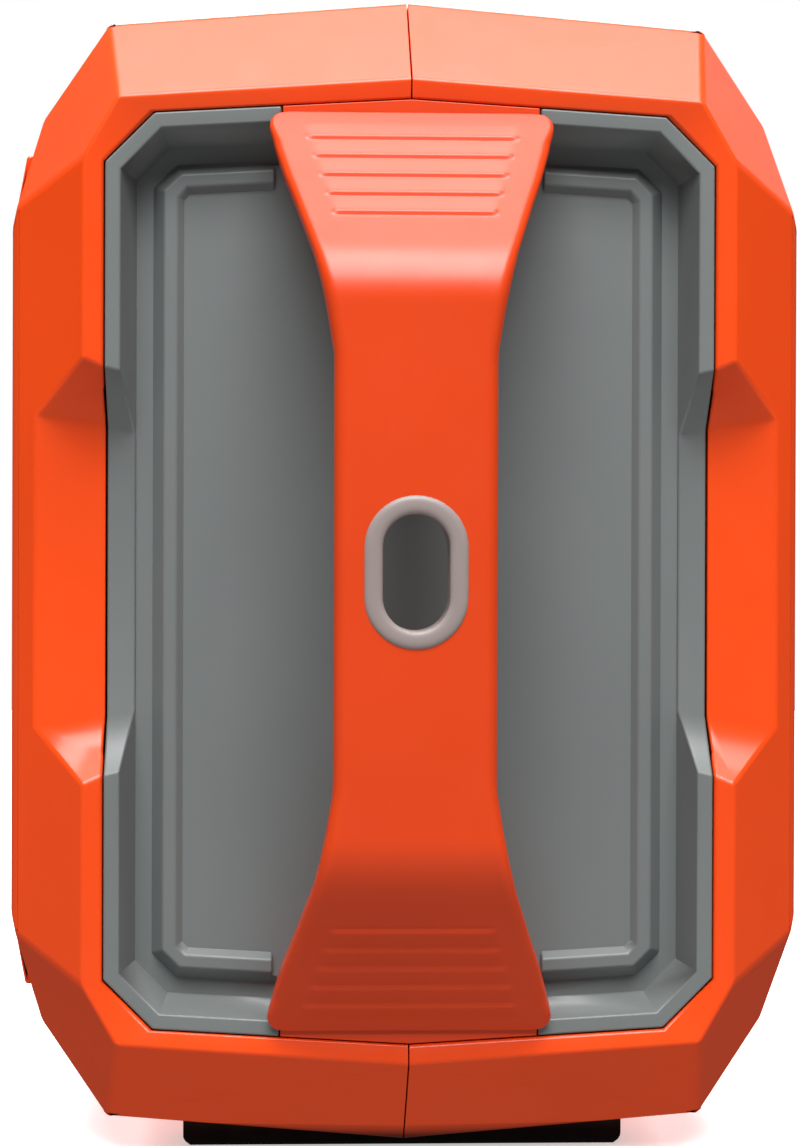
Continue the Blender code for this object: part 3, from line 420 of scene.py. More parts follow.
def tint(material, source, first, second):
    """Mixes two colours into the base colour by a value."""
    tree = material.node_tree
    mix = tree.nodes.new("ShaderNodeMix")
    mix.data_type = "RGBA"
    mix.inputs["A"].default_value = (*first, 1.0)
    mix.inputs["B"].default_value = (*second, 1.0)
    tree.links.new(source, mix.inputs["Factor"])
    tree.links.new(mix.outputs["Result"], tree.nodes["Principled BSDF"].inputs["Base Color"])


def relief(material, layers):
    """Bump from several sources, each with its depth in millimetres."""
    tree = material.node_tree
    normal = None
    for source, depth in layers:
        bump = tree.nodes.new("ShaderNodeBump")
        bump.inputs["Distance"].default_value = depth * MM
        bump.inputs["Strength"].default_value = 1.0
        tree.links.new(source, bump.inputs["Height"])
        if normal:
            tree.links.new(normal, bump.inputs["Normal"])
        normal = bump.outputs["Normal"]
    tree.links.new(normal, tree.nodes["Principled BSDF"].inputs["Normal"])


def shaded(colour, factor):
    return tuple(min(value * factor, 1.0) for value in colour)


def moulded(name, colour, roughness, grain=0.35, grain_depth=0.01, variation=0.03):
    """Injection-moulded plastic: a fine spark-eroded grain, faint flow marks and uneven gloss."""
    material = new_material(name, colour, roughness)
    tree = material.node_tree
    clouds = noise(tree, 60.0, 3.0)
    tint(material, spread(tree, clouds, 0.0, 1.0), shaded(colour, 1.0 - variation),
         shaded(colour, 1.0 + variation))
    gloss = spread(tree, noise(tree, 9.0, 2.0), roughness - 0.015, roughness + 0.02)
    tree.links.new(gloss, tree.nodes["Principled BSDF"].inputs["Roughness"])
    relief(material, ((noise(tree, grain, 2.0), grain_depth), (noise(tree, 45.0, 1.0), 0.03)))
    return material


def rubber(name, colour):
    material = new_material(name, colour, 0.82)
    tree = material.node_tree
    dust = spread(tree, noise(tree, 6.0, 5.0), 0.0, 1.0, 0.45, 0.75)
    tint(material, dust, colour, shaded(colour, 1.9))
    relief(material, ((noise(tree, 0.5, 3.0), 0.04),))
    return material


def brushed(name, colour, roughness, along=(1.0, 40.0, 40.0)):
    """Metal with fine straight marks along one axis."""
    material = new_material(name, colour, roughness, 1.0)
    tree = material.node_tree
    marks = noise(tree, 8.0, 4.0, along)
    tint(material, spread(tree, marks, 0.0, 1.0), shaded(colour, 0.85), shaded(colour, 1.1))
    gloss = spread(tree, marks, roughness - 0.08, roughness + 0.1)
    tree.links.new(gloss, tree.nodes["Principled BSDF"].inputs["Roughness"])
    relief(material, ((marks, 0.01),))
    return material


def circuit_board(name):
    """Green solder mask with lighter tracks and small pads."""
    mask, track = (0.010, 0.085, 0.030), (0.030, 0.19, 0.075)
    material = new_material(name, mask, 0.35, Coat_Weight=0.4)
    tree = material.node_tree
    place = tree.nodes.new("ShaderNodeTexCoord")
    bricks = tree.nodes.new("ShaderNodeTexBrick")
    bricks.inputs["Scale"].default_value = 160.0
    bricks.inputs["Mortar Size"].default_value = 0.06
    tree.links.new(place.outputs["Object"], bricks.inputs["Vector"])
    tint(material, bricks.outputs["Fac"], mask, track)
    relief(material, ((bricks.outputs["Fac"], 0.03),))
    return material


def winding(name):
    """Varnished copper wire, laid side by side, with painted shade between the turns and painted
    highlight on them.
    """
    material = new_material(name, (0.42, 0.16, 0.05), 0.3, 0.7)
    tree = material.node_tree
    place = tree.nodes.new("ShaderNodeTexCoord")
    wave = tree.nodes.new("ShaderNodeTexWave")
    wave.bands_direction = "Z"
    wave.inputs["Scale"].default_value = 260.0
    tree.links.new(place.outputs["Object"], wave.inputs["Vector"])
    # The colour follows the bump's bands: dark in the grooves between the turns as painted shade,
    # bright on the turns as painted highlight.
    tint(material, wave.outputs["Fac"], (0.12, 0.035, 0.012), (0.55, 0.22, 0.07))
    relief(material, ((wave.outputs["Fac"], 0.25),))
    return material


def wrapped(name, colour):
    """Heat-shrunk film over cells, with painted shade in the hollows of its creases and painted
    highlight on their crests.
    """
    material = new_material(name, colour, 0.3, Coat_Weight=0.5, Coat_Roughness=0.15)
    tree = material.node_tree
    creases_and_painted_shade = noise(tree, 14.0, 2.0, (1.0, 1.0, 3.0))
    # The colour follows the creases that make the bump: darker in their hollows as painted shade,
    # lighter on their crests as painted highlight.
    tint(material, spread(tree, creases_and_painted_shade, 0.0, 1.0), shaded(colour, 0.8), shaded(colour, 1.3))
    relief(material, ((creases_and_painted_shade, 0.5),))
    return material


def glowing(name, colour, strength):
    """Display segments, a little uneven as liquid crystal is."""
    material = new_material(name, colour, 0.4, Emission_Color=(*colour, 1.0),
                            Emission_Strength=strength)
    tree = material.node_tree
    tint(material, spread(tree, noise(tree, 1.5), 0.0, 1.0), shaded(colour, 0.9), colour)
    return material


def glossy(name, colour, roughness, **sockets):
    """Smooth glass or polished plastic with faint waviness and smudges."""
    material = new_material(name, colour, roughness, **sockets)
    tree = material.node_tree
    smudge = spread(tree, noise(tree, 18.0, 4.0), roughness, roughness + 0.1)
    tree.links.new(smudge, tree.nodes["Principled BSDF"].inputs["Roughness"])
    tint(material, noise(tree, 30.0), colour, shaded(colour, 1.15))
    relief(material, ((noise(tree, 25.0, 1.0), 0.02),))
    return material


orange = moulded("orange_plastic", ORANGE, 0.3)
grip_orange = moulded("handle_plastic", GRIP_ORANGE, 0.33)
grey = moulded("grey_plastic", GREY, 0.42, grain_depth=0.014)
black = moulded("black_plastic", BLACK, 0.45, grain_depth=0.016, variation=0.12)
cover_black = moulded("cover_plastic", shaded(BLACK, 1.3), 0.5, 0.5, 0.03, 0.1)
button_black = moulded("button_plastic", shaded(BLACK, 1.8), 0.38, 0.3, 0.01, 0.1)
socket_black = moulded("socket_plastic", shaded(BLACK, 0.8), 0.35, 0.3, 0.01, 0.1)
inner_black = moulded("inner_plastic", shaded(BLACK, 1.1), 0.5)
# The grommet is grey; the warm brownish tint in this colour is painted reflection of the orange
# handle around it.
ring_grey_with_painted_reflection = moulded("grommet_plastic", (0.30, 0.245, 0.23), 0.4, 0.3, 0.01, 0.04)
foot_rubber = rubber("foot_rubber", (0.012, 0.0125, 0.009))
steel = brushed("steel", (0.52, 0.52, 0.53), 0.32)
brass = brushed("brass", (0.72, 0.48, 0.17), 0.25)
aluminium = brushed("aluminium", (0.62, 0.63, 0.64), 0.35, (40.0, 1.0, 1.0))
board_green = circuit_board("circuit_board")
copper = winding("transformer_winding")
cell_wrap = wrapped("battery_wrap", (0.012, 0.06, 0.17))
sleeve = wrapped("capacitor_sleeve", (0.012, 0.02, 0.07))
screen_glass = glossy("display_glass", (0.008, 0.010, 0.012), 0.06, Coat_Weight=0.6)
screen_glow = glowing("display_segments", (0.55, 0.85, 0.95), 1.1)
lens = glossy("lamp_lens", (0.86, 0.88, 0.88), 0.12, Transmission_Weight=0.75, IOR=1.49)
led = glowing("lamp_led", (0.95, 0.80, 0.35), 0.15)
board_white = moulded("lamp_board", (0.75, 0.75, 0.72), 0.5)
print_white = moulded("printed_marks", (0.62, 0.63, 0.63), 0.6, 0.3, 0.003, 0.06)
indicator = glowing("indicator_light", (0.10, 0.75, 0.22), 0.5)


# ---------------------------------------------------------------- the handles

def bend_share(height):
    """How far round the bend a height is: 0 on the grip, 1 on the ramp."""
    share = (abs(height) - BEND_HEIGHT + BEND_HALF_LENGTH) / (2 * BEND_HALF_LENGTH)
    return min(max(share, 0.0), 1.0)


def grip_depth(height):
    """Depth of the handle's outer face at a height: flat grip, round bend, straight ramp."""
    h = abs(height)
    if h >= BEND_HEIGHT + BEND_HALF_LENGTH:
        return -GRIP_PROUD + RAMP * (h - BEND_HEIGHT)
    return -GRIP_PROUD + RAMP * BEND_HALF_LENGTH * bend_share(height) ** 2


def grip_width(height):
    """Half the handle's width at a height, with the pads' far corners rounded off."""
    h = abs(height)
    into_corner = max(h - (PAD_END - PAD_CORNER), 0.0)
    corner = PAD_CORNER - math.sqrt(max(PAD_CORNER ** 2 - into_corner ** 2, 0.0))
    for (low, narrow), (high, wide) in zip(WIDTH_STEPS, WIDTH_STEPS[1:]):
        if h <= high:
            return narrow + (wide - narrow) * (h - low) / (high - low) - corner
    return WIDTH_STEPS[-1][1] - corner


def eased(value):
    value = min(max(value, 0.0), 1.0)
    return value * value * (3 - 2 * value)


def line_relief(height, y):
    """The pads' lines: each is a small step that faces the middle of the handle."""
    for k in range(LINE_COUNT):
        reach = LINE_REACH - k * LINE_STEP
        outwards = abs(height) - (LINE_TOP - k * LINE_PITCH)
        if abs(y) < reach and LINE_SHAPE[0][0] < outwards < LINE_SHAPE[-1][0]:
            for (before, low), (after, high) in zip(LINE_SHAPE, LINE_SHAPE[1:]):
                if outwards <= after:
                    rise = low + (high - low) * (outwards - before) / (after - before)
                    return rise * eased((reach - abs(y)) / LINE_END)
    return 0.0


def handle_ring(height, end):
    """The handle cut level at one height, as a ring with rounded long edges."""
    outer = grip_depth(height)
    slope = RAMP * bend_share(height)
    inner = min(outer + GRIP_THICKNESS * math.hypot(1.0, slope), PAD_CLEARANCE)
    wide = grip_width(height)
    outer_edge = min(OUTER_EDGE, 0.45 * (inner - outer))
    inner_edge = min(INNER_EDGE, 0.45 * (inner - outer))
    half = []
    for k in range(FACE_STEPS + 1):
        y = (wide - outer_edge) * k / FACE_STEPS
        half.append((outer - line_relief(height, y), y))
    for k in range(1, OUTER_EDGE_STEPS + 1):
        turn = math.pi / 2 * k / OUTER_EDGE_STEPS
        half.append((outer + outer_edge * (1 - math.cos(turn)),
                     wide - outer_edge * (1 - math.sin(turn))))
    for k in range(INNER_EDGE_STEPS + 1):
        turn = math.pi / 2 * k / INNER_EDGE_STEPS
        half.append((inner - inner_edge * (1 - math.sin(turn)),
                     wide - inner_edge * (1 - math.cos(turn))))
    for k in range(1, BACK_STEPS + 1):
        half.append((inner, (wide - inner_edge) * (1 - k / BACK_STEPS)))
    ring = half + [(d, -y) for d, y in half[-2:0:-1]]
    return [(end * (RIM_X - d), y, height) for d, y in ring]


def handle_heights():
    """Fine steps across the pads, where the lines are, and coarser ones along the grip."""
    upper = [0.0]
    while upper[-1] < PAD_END - 0.01:
        h = upper[-1]
        on_lines = LINE_TOP - LINE_COUNT * LINE_PITCH < h < LINE_TOP + 3.0
        step = 0.2 if on_lines else 0.3 if h > LINE_TOP else 1.2 if h > 52.0 else 3.5
        upper.append(min(h + step, PAD_END))
    return [-h for h in reversed(upper[1:])] + upper


def make_handle(end, side):
    rings = [handle_ring(height, end) for height in handle_heights()]
    name = f"handle_{side}"
    grip = add_piece(name + "_grip", loft_mesh(name + "_grip", rings), "body",
                     grip_orange, (name,))
    through = [[(end * x, y, h) for y, h in stadium(SLEEVE_SIZE, 0.3)]
               for x in (RIM_X, GRIP_X + 5.0)]
    cut_by(grip, loft_mesh("sleeve_room", through))
    grip.data.set_sharp_from_angle(angle=math.radians(50.0))
    for up in (-1, 1):
        block = [(-BASE_HALF_WIDTH, BASE_BOTTOM), (BASE_HALF_WIDTH, BASE_BOTTOM),
                 (BASE_HALF_WIDTH, BASE_SHOULDER), (0.0, BASE_TOP),
                 (-BASE_HALF_WIDTH, BASE_SHOULDER)]
        rings = [[(end * (RIM_X - d), y, up * h) for y, h in block] for d in (1.0, BASE_DEPTH)]
        base_name = f"{name}_base_{'top' if up > 0 else 'bottom'}"
        base = add_piece(base_name, loft_mesh(base_name, rings), "body",
                         grip_orange)
        round_edges(base, 0.2)
        neck = rounded_box(2 * BASE_HALF_WIDTH - 3.4, NECK_HEIGHT, NECK_CORNER,
                           (0.0, up * NECK_MIDDLE))
        rings = [[(end * (RIM_X - d), y, h) for y, h in neck] for d in (0.3, 3.0)]
        neck_name = base_name.replace("base", "neck")
        add_piece(neck_name, loft_mesh(neck_name, rings), "body", grip_orange)


def make_grommet(end, side):
    """An oval ring with a rounded flange, whose sleeve lines the handle's hole."""
    crown = GRIP_X + RING_PROUD
    seat = GRIP_X - RING_SEAT
    back = GRIP_X - GRIP_THICKNESS
    flange = (RING_SIZE[0] - HOLE_SIZE[0]) / 2
    sleeve_wall = (SLEEVE_SIZE[0] - HOLE_SIZE[0]) / 2
    bead = crown - GRIP_X + RING_SUNK
    profile = [(0.25, back), (0.0, back + 0.25)]
    for k in range(BEAD_STEPS + 1):
        turn = math.pi * k / BEAD_STEPS
        across = 1 - math.copysign(abs(math.cos(turn)) ** BEAD_FULLNESS, math.cos(turn))
        rise = math.sin(turn) ** BEAD_FULLNESS
        profile.append((flange / 2 * across, crown - bead * (1 - rise)))
    profile += [(flange, seat), (sleeve_wall, seat), (sleeve_wall, back)]
    rings = [[(end * x, y, h) for y, h in stadium(HOLE_SIZE, grow)] for grow, x in profile]
    count = len(rings[0])
    faces = []
    for row in range(len(rings)):
        following = (row + 1) % len(rings)
        for k in range(count):
            a, b = row * count + k, row * count + (k + 1) % count
            c, d = following * count + (k + 1) % count, following * count + k
            faces.append((a, b, c, d))
    name = f"handle_grommet_{side}"
    mesh = mesh_from(name + "_ring", [p for ring in rings for p in ring], faces)
    mesh.set_sharp_from_angle(angle=math.radians(40.0))
    add_piece(name + "_ring", mesh, "body", ring_grey_with_painted_reflection, (name,))


# ---------------------------------------------------------------- the body

def make_body():
    for node in ("front_shell", "rear_shell"):
        softened(node, orange, shell_edge, segments=4)
    softened("front_bezel", orange, all_edges(0.6))
    for side in ("left", "right"):
        softened("end_panel_" + side, grey, panel_edge)


def make_seam_seals():
    """Strips in the seam between the halves, so that no light shows through it."""
    reach = RIM_X - SEAL_INSET
    for name, sign in (("top", 1), ("bottom", -1)):
        outline = [(-reach, sign * SEAL_LOW), (reach, sign * SEAL_LOW),
                   (reach, sign * SEAL_TOP), (-reach, sign * SEAL_TOP)]
        slab("seam_seal_" + name, outline, -SEAL_HALF_THICKNESS, SEAL_HALF_THICKNESS, "body",
             foot_rubber, edge=0.0)


def make_foot(side):
    """A rubber bar with rounded ends and three grooves along its underside."""
    low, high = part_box("foot_bar_" + side)
    x0, x1 = low.x / MM, high.x / MM
    half, top = high.y / MM, high.z / MM
    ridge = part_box("front_shell")[0].z / MM - 0.3
    rings = []
    for y, lift in ((-half, 1.6), (-half + 0.5, 0.8), (-half + 1.6, 0.0), (0.0, 0.0),
                    (half - 1.6, 0.0), (half - 0.5, 0.8), (half, 1.6)):
        roof = ridge + (top - ridge) * abs(y) / half
        section = [(x1, roof), (x0, roof), (x0, 0.9 + lift), (x0 + 0.9, lift)]
        for k in range(3):
            middle = x0 + (x1 - x0) * (k + 1) / 4
            groove = max(1.0, lift)
            section += [(middle - 0.9, lift), (middle - 0.5, groove), (middle + 0.5, groove),
                        (middle + 0.9, lift)]
        section += [(x1 - 0.9, lift), (x1, 0.9 + lift)]
        rings.append([(x, y, z - MID_Z) for x, z in section])
    name = "foot_bar_" + side
    piece = add_piece(name + "_tread", loft_mesh(name + "_tread", rings), "body",
                      foot_rubber, (name,))
    piece.data.set_sharp_from_angle(angle=math.radians(30.0))


def make_screws():
    """Flat heads with a six-sided drive, all in one mesh."""
    points, faces = [], []
    for x, h in SCREWS:
        start = len(points)
        rings = []
        for y, radius, sides in ((76.3, 3.5, 0), (80.1, 3.5, 0), (80.5, 3.1, 0), (80.5, 2.0, 6),
                                 (78.7, 1.9, 6)):
            ring = []
            for px, ph in circle(1.0, sides=48):
                reach = radius
                if sides:
                    sector = math.pi / sides
                    turn = (math.atan2(ph, px) % (2 * sector)) - sector
                    reach = radius * math.cos(sector) / math.cos(turn)
                ring.append((x + reach * px, y, h + reach * ph))
            rings.append(ring)
        points += [p for ring in rings for p in ring]
        faces += ring_faces(48, len(rings), start)
    mesh = mesh_from("shell_screw_heads", points, faces)
    mesh.set_sharp_from_angle(angle=math.radians(35.0))
    add_piece("shell_screw_heads", mesh, "body", steel,
              [f"shell_screw_{number}" for number in range(1, 5)])


# ---------------------------------------------------------------- the control side

def arc(radius, start, end, centre=(0.0, 0.0), steps=24):
    points = []
    for k in range(steps + 1):
        turn = math.radians(start + (end - start) * k / steps)
        points.append((centre[0] + radius * math.cos(turn), centre[1] + radius * math.sin(turn)))
    return points


def icon_strokes(kind, x, h, size):
    """Plain signs for power, light, alternating current and direct current."""
    if kind == "power":
        return [arc(size, 125, 415, (x, h)), [(x, h + size * 0.2), (x, h + size * 1.2)]]
    if kind == "light":
        rays = []
        for k in range(8):
            turn = math.pi / 4 * k
            rays.append([(x + reach * math.cos(turn), h + reach * math.sin(turn))
                         for reach in (size * 0.75, size * 1.15)])
        return [arc(size * 0.45, 0, 360, (x, h))] + rays
    if kind == "ac":
        return [[(x + size * (k / 12 - 1), h + size * 0.45 * math.sin(math.pi * k / 12))
                 for k in range(25)]]
    dashes = [[(x - size + size * 0.75 * k, h - size * 0.35),
               (x - size + size * 0.75 * k + size * 0.45, h - size * 0.35)] for k in range(3)]
    return [[(x - size, h + size * 0.3), (x + size, h + size * 0.3)]] + dashes


def make_buttons():
    proud = 2.4
    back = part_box("power_button")[1].y / MM
    for name, (x, h, radius) in BUTTONS.items():
        face = FLOOR_Y - proud
        profile = ((face + 0.5, 0.4), (face + 0.42, radius * 0.4), (face + 0.15, radius * 0.72),
                   (face, radius - 1.3), (face + 0.25, radius - 0.6), (face + 0.8, radius - 0.1),
                   (back - 1.2, radius - 0.1), (back - 1.2, radius + 1.2), (back, radius + 1.2))
        turned(name + "_cap", profile, (x, h), name, button_black, (name,), edge=0.15)
        kind = name.split("_")[0]
        sign = icon_strokes(kind, x, h, radius * 0.4)
        ribbons(name + "_icon", sign, 0.55, face + 0.42, 0.12, name, print_white)
        ring = [arc(radius + 1.5, 0, 360, (x, h), 48)]
        ribbons(name + "_surround", ring, 0.5, FLOOR_Y, 0.12, "body", print_white)
        turned(name + "_light", ((FLOOR_Y - 0.5, 0.9), (FLOOR_Y + 0.2, 0.9)),
               (x + radius + 4.0, h), "body", indicator, edge=0.25, sides=24)


DIGITS = "86"                            # the charge shown, per cent
SEGMENTS = {"8": "abcdefg", "6": "acdefg"}    # the lit bars of each seven-bar digit


def digit_strokes(digit, x, h, width, height):
    corners = {
        "a": ((0, 1), (1, 1)), "b": ((1, 1), (1, 0.5)), "c": ((1, 0.5), (1, 0)),
        "d": ((0, 0), (1, 0)), "e": ((0, 0.5), (0, 0)), "f": ((0, 1), (0, 0.5)),
        "g": ((0, 0.5), (1, 0.5)),
    }
    strokes = []
    for bar in SEGMENTS[digit]:
        (x0, h0), (x1, h1) = corners[bar]
        inset_x, inset_h = (0.14, 0.0) if h0 == h1 else (0.0, 0.07)
        low_x, high_x = x0 + inset_x, x1 - inset_x
        low_h, high_h = (h0 - inset_h, h1 + inset_h) if h0 > h1 else (h0, h1)
        strokes.append([(x + width * low_x, h + height * low_h),
                        (x + width * high_x, h + height * high_h)])
    return strokes


def make_display():
    """A glass window with a charge gauge, two digits and the signs of what is switched on."""
    x, h, width, height = DISPLAY
    glass_y = FLOOR_Y - 0.4
    softened("display_window", screen_glass, all_edges(0.35))
    left, bottom = x - 31.0, h - 11.0
    for k, digit in enumerate(DIGITS):
        strokes = digit_strokes(digit, left + 2.0 + 15.0 * k, bottom + 1.0, 10.0, 20.0)
        ribbons(f"display_digit_{k}", strokes, 1.7, glass_y, 0.05, "body", screen_glow)
    gauge = rounded_box(26.0, 12.0, 2.0, (x + 17.0, h + 4.0))
    ribbons("display_gauge", [closed(gauge)], 0.8, glass_y, 0.05, "body", screen_glow)
    bars = [[(x + 7.2 + 4.9 * k, h), (x + 7.2 + 4.9 * k, h + 8.0)] for k in range(5)]
    ribbons("display_bars", bars, 3.4, glass_y, 0.05, "body", screen_glow)
    signs = icon_strokes("ac", x + 8.0, h - 9.0, 3.0) + icon_strokes("dc", x + 18.0, h - 9.0, 3.0)
    signs += icon_strokes("light", x + 27.0, h - 9.0, 2.6)
    ribbons("display_signs", signs, 0.6, glass_y, 0.05, "body", screen_glow)
    frame_line = rounded_box(width + 3.0, height + 3.0, 4.4, (x, h))
    ribbons("display_surround", [closed(frame_line)], 0.9, FLOOR_Y, 0.25, "body",
            socket_black)


def make_lamp():
    """A ribbed clear lens over two rows of light-emitting diodes."""
    x, h, width, height = LAMP
    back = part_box("lamp_lens")[1].y / MM
    softened("lamp_lens", lens, all_edges(0.4))
    ribs = 17
    strokes = []
    for k in range(ribs):
        rib_x = x + (width - 8.0) * (k / (ribs - 1) - 0.5)
        strokes.append([(rib_x, h - height / 2 + 2.6), (rib_x, h + height / 2 - 2.6)])
    ribbons("lamp_lens_ribs", strokes, 0.9, back + 0.05, 0.5, "body", lens)
    for row in (-1, 1):
        for k in range(6):
            centre = (x + 6.4 * (k - 2.5), h + 4.2 * row)
            slab(f"lamp_led_{row + 1}_{k}", rounded_box(3.0, 3.0, 0.5, centre, 3), back + 0.35,
                 back + 0.9, "body", led, edge=0.1)
    line = rounded_box(width + 2.4, height + 2.4, 5.0, (x, h))
    ribbons("lamp_surround", [closed(line)], 0.7, FLOOR_Y, 0.2, "body",
            socket_black)


def make_ports():
    """Connectors with their metal mouths, tongues and contacts."""
    mouth = FLOOR_Y - 0.6
    for k, (x, h) in enumerate(USB_A, 1):
        softened(f"usb_a_port_{k}", socket_black, all_edges(0.25))
        slab(f"usb_a_tongue_{k}", rounded_box(11.0, 1.5, 0.3, (x, h + 0.9), 2), mouth + 0.9,
             mouth + 10.8, "body", print_white, edge=0.1)
        contacts = [[(x + 2.2 * (c - 1.5), h + 0.1), (x + 2.2 * (c - 1.5) + 0.01, h - 0.05)]
                    for c in range(4)]
        ribbons(f"usb_a_contacts_{k}", contacts, 1.1, mouth + 8.0, 6.6, "body", brass)
        mouth_line = rounded_box(12.7, 5.1, 0.5, (x, h), 3)
        ribbons(f"usb_a_mouth_{k}", [closed(mouth_line)], 0.35, mouth + 6.0, 5.6, "body",
                steel)
    for k, (x, h) in enumerate(USB_C, 1):
        softened(f"usb_c_port_{k}", socket_black, all_edges(0.25))
        slab(f"usb_c_tongue_{k}", rounded_box(6.6, 0.8, 0.3, (x, h), 2), mouth + 0.9, mouth + 6.8,
             "body", socket_black, edge=0.1)
        mouth_line = rounded_box(9.0, 3.2, 1.55, (x, h), 8)
        ribbons(f"usb_c_mouth_{k}", [closed(mouth_line)], 0.3, mouth + 6.5, 6.1, "body",
                steel)
    for k, centre in enumerate(DC_JACKS, 1):
        profile = ((mouth + 9.0, 5.95), (mouth + 0.35, 5.95), (mouth, 5.6), (mouth, 4.5),
                   (mouth + 0.3, 4.15), (mouth + 9.4, 4.1), (mouth + 9.5, 0.2))
        turned(f"dc_jack_{k}_barrel", profile, centre, "body", socket_black,
               (f"dc_jack_{k}",), edge=0.0)
        turned(f"dc_jack_{k}_pin", ((mouth + 1.6, 0.5), (mouth + 2.2, 1.0), (mouth + 9.4, 1.0)),
               centre, "body", steel, edge=0.1, sides=32)
    for side in ("left", "right"):
        softened("ac_outlet_" + side, socket_black, all_edges(0.4))


def make_car_socket():
    front, depth = FLOOR_Y - 1.2, 42.0
    profile = ((FLOOR_Y + depth, 12.3), (FLOOR_Y - 0.3, 12.3), (FLOOR_Y - 0.3, 13.6),
               (front + 0.5, 13.6), (front, 13.1), (front, 11.3), (front + 0.6, 10.7),
               (FLOOR_Y + depth - 0.5, 10.7), (FLOOR_Y + depth - 0.4, 3.0))
    turned("car_socket_barrel", profile, CAR_SOCKET, "body", socket_black,
           ("car_socket",), edge=0.0)
    liner = ((FLOOR_Y + depth - 2.0, 10.66), (FLOOR_Y + 3.0, 10.66), (FLOOR_Y + 2.6, 10.5),
             (FLOOR_Y + 3.0, 10.3), (FLOOR_Y + depth - 2.0, 10.3))
    turned("car_socket_liner", liner, CAR_SOCKET, "body", steel, edge=0.0)


def make_covers():
    """The two flaps, each with a moulded border, finger ribs and a plain sign."""
    for node, kind in (("ac_cover", "ac"), ("car_socket_cap", "dc")):
        softened(node, cover_black, all_edges(0.35))
        low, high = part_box(node)
        x0, x1 = low.x / MM, high.x / MM
        bottom, top = low.z / MM - MID_Z, high.z / MM - MID_Z
        middle = (x0 + x1) / 2
        skin = low.y / MM + 0.3
        ribs = [[(middle - 7.0, bottom + 3.2 + 1.7 * k), (middle + 7.0, bottom + 3.2 + 1.7 * k)]
                for k in range(3)]
        ribbons(node + "_finger_ribs", ribs, 0.8, skin, 0.28, node, cover_black)
        border = rounded_box(x1 - x0 - 5.0, top - bottom - 9.5, 2.4,
                             (middle, (top + bottom - 3.6) / 2))
        ribbons(node + "_border", [closed(border)], 0.7, skin, 0.2, node, cover_black)
        sign = icon_strokes(kind, middle, (top + bottom) / 2, 4.2)
        ribbons(node + "_sign", sign, 0.7, skin, 0.06, node, print_white)


def make_tray():
    softened("control_panel", black, all_edges(0.25))
    softened("port_panel", black, all_edges(0.2))
    lines = []
    for x, h, width, height in ((-64.0, -14.0, 38.6, 13.0), (-26.0, -14.0, 31.0, 13.0),
                                (-70.0, -42.0, 16.0, 30.0)):
        lines.append(closed(rounded_box(width, height, 3.0, (x, h))))
    ribbons("port_outlines", lines, 0.35, FLOOR_Y, 0.05, "body", print_white)
    ribbons("jack_sign", icon_strokes("dc", -57.5, -42.0, 2.4), 0.45, FLOOR_Y, 0.05, "body",
            print_white)


# ---------------------------------------------------------------- the rear

def make_rear():
    softened("vent_grille", black, all_edges(0.45))
    outer = REAR_Y + INLET_PROUD
    profile = ((outer - 17.0, 8.95), (outer - 0.5, 8.95), (outer - 0.5, 10.6), (outer - 0.25, 10.6),
               (outer, 10.3), (outer, 7.6), (outer - 0.5, 7.2), (outer - 1.0, 4.7),
               (outer - 1.5, 4.45), (outer - 12.0, 4.4), (outer - 12.1, 0.2))
    turned("charge_inlet_body", profile, INLET, "body", socket_black,
           ("charge_inlet",), edge=0.0)
    turned("charge_inlet_pin", ((outer - 12.0, 1.1), (outer - 3.2, 1.1), (outer - 2.6, 0.6)), INLET,
           "body", steel, edge=0.1, sides=32)
    for node in ("fan_rotor", "fan_frame"):
        softened(node, inner_black, all_edges(0.25), sharp_from=40.0)


# ---------------------------------------------------------------- what stays as the CAD has it

CARRIED_OVER = {
    "ac_cover_pin": steel, "car_socket_cap_pin": steel, "car_socket_contact": brass,
    "inner_frame": steel, "battery_module_left": cell_wrap, "battery_module_right": cell_wrap,
    "battery_tray": inner_black, "bms_board": board_green, "control_board": board_green,
    "inverter_board": board_green, "display_module": board_green, "lamp_board": board_white,
    "heat_sink": aluminium, "transformer": copper, "filter_capacitor_1": sleeve,
    "filter_capacitor_2": sleeve,
}


def finish_carried_over():
    for node, material in CARRIED_OVER.items():
        paint(node, material)
    for side in ("left", "right"):
        for place in ("top", "bottom"):
            paint(f"handle_screw_{side}_{place}", steel)


def paint(node, material):
    for place in frame["nodes"][node].material_slots:
        place.material = material


# ---------------------------------------------------------------- floor, light and camera

FLOOR_HALF_SIZE = 1.7
BODY_MIDDLE = (0.12, 0.0, 0.13)
LAMPS = (                                # name, place, target, width, depth, watts, shows in gloss
    ("softbox_front", (1.4, 0.0, 1.8), BODY_MIDDLE, 1.6, 1.1, 60.0, True),
    ("strip_high", (0.95, 0.0, 1.95), BODY_MIDDLE, 2.0, 0.6, 18.0, True),
    ("softbox_above", (-0.15, 0.0, 2.1), (-0.02, 0.0, 0.13), 2.0, 1.1, 38.0, True),
    ("softbox_behind", (-1.5, 1.2, 0.9), BODY_MIDDLE, 0.8, 0.8, 1.2, True),
    ("floor_bounce", (0.3, 0.0, 0.003), (0.3, 0.0, 1.0), 2.4, 2.4, 10.5, False),
    ("fill_front", (-1.4, -1.8, 1.5), BODY_MIDDLE, 1.0, 1.0, 36.0, False),
    ("fill_rear", (-1.4, 1.8, 1.5), BODY_MIDDLE, 1.0, 1.0, 24.0, False),
    ("fill_left", (-2.2, 0.0, 1.0), (-0.1, 0.0, 0.13), 1.0, 1.0, 25.0, True),
)
WORLD_LIGHT, WORLD_SEEN = 0.06, 1.0      # strength for the object, and as the camera shows it
CAMERA_PLACE = (0.738, -0.0276, MID_Z * MM + 0.0027)
CAMERA_TURN, CAMERA_TILT, CAMERA_ROLL = 2.42, -0.28, 0.18
CAMERA_LENS = 87.7


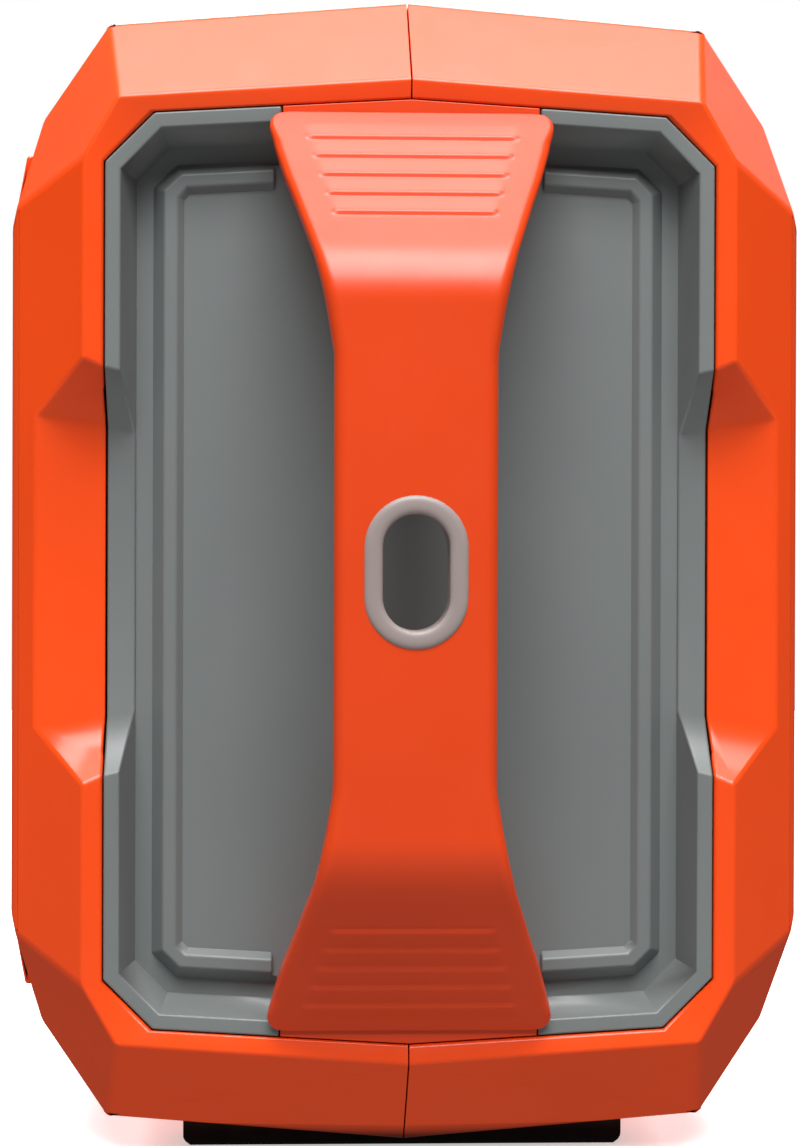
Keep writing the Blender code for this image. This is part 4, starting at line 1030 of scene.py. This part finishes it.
def make_stage():
    """A pale floor that lights nothing: its light on the object comes from floor_bounce."""
    size = FLOOR_HALF_SIZE
    mesh = bpy.data.meshes.new("floor")
    mesh.from_pydata([(-size, -size, 0), (size, -size, 0), (size, size, 0), (-size, size, 0)], [],
                     [(0, 1, 2, 3)])
    floor = bpy.data.objects.new("floor", mesh)
    bpy.context.scene.collection.objects.link(floor)
    mesh.materials.append(new_material("floor", (0.93, 0.93, 0.93), 0.8, Specular_IOR_Level=0.1,
                                       Emission_Color=(1.0, 1.0, 1.0, 1.0), Emission_Strength=0.5))
    floor.visible_diffuse = False
    floor.visible_glossy = False


def add_light(name, place, target, width, depth, power, in_gloss):
    light = bpy.data.lights.new(name, "AREA")
    light.shape = "RECTANGLE"
    light.size, light.size_y = width, depth
    light.energy = power
    lamp = bpy.data.objects.new(name, light)
    bpy.context.scene.collection.objects.link(lamp)
    lamp.location = place
    lamp.rotation_euler = (Vector(target) - Vector(place)).to_track_quat("-Z", "Y").to_euler()
    lamp.visible_camera = False
    lamp.visible_glossy = in_gloss


def make_light():
    """White surroundings for the camera, dim ones for the object, and soft lamps all round."""
    world = bpy.data.worlds.new("studio")
    bpy.context.scene.world = world
    world.use_nodes = True
    tree = world.node_tree
    around = tree.nodes["Background"]
    seen = tree.nodes.new("ShaderNodeBackground")
    for background, strength in ((around, WORLD_LIGHT), (seen, WORLD_SEEN)):
        background.inputs["Color"].default_value = (1.0, 1.0, 1.0, 1.0)
        background.inputs["Strength"].default_value = strength
    path = tree.nodes.new("ShaderNodeLightPath")
    mix = tree.nodes.new("ShaderNodeMixShader")
    tree.links.new(path.outputs["Is Camera Ray"], mix.inputs["Fac"])
    tree.links.new(around.outputs["Background"], mix.inputs[1])
    tree.links.new(seen.outputs["Background"], mix.inputs[2])
    tree.links.new(mix.outputs["Shader"], tree.nodes["World Output"].inputs["Surface"])
    for lamp in LAMPS:
        add_light(*lamp)
    bpy.context.scene.view_settings.view_transform = "Standard"


def make_camera():
    """Looks along the body at its right-hand end, a little turned, from just above mid-height."""
    camera = bpy.data.cameras.new("camera")
    camera.lens = CAMERA_LENS
    camera.sensor_width = 36.0
    camera.clip_start = 0.01
    rig = bpy.data.objects.new("camera", camera)
    bpy.context.scene.collection.objects.link(rig)
    rig.location = CAMERA_PLACE
    turn, tilt, roll = (math.radians(value) for value in (CAMERA_TURN, CAMERA_TILT, CAMERA_ROLL))
    direction = Vector((-math.cos(turn), math.sin(turn), math.tan(tilt)))
    facing = direction.to_track_quat("-Z", "Y")
    rig.rotation_euler = facing.to_euler()
    rig.rotation_euler.rotate_axis("Z", roll)
    bpy.context.scene.camera = rig


def main():
    make_camera()
    make_stage()
    make_light()
    make_body()
    for end, side in ((-1, "left"), (1, "right")):
        make_handle(end, side)
        make_grommet(end, side)
        make_foot(side)
    make_seam_seals()
    make_screws()
    make_tray()
    make_buttons()
    make_display()
    make_lamp()
    make_ports()
    make_car_socket()
    make_covers()
    make_rear()
    finish_carried_over()


main()
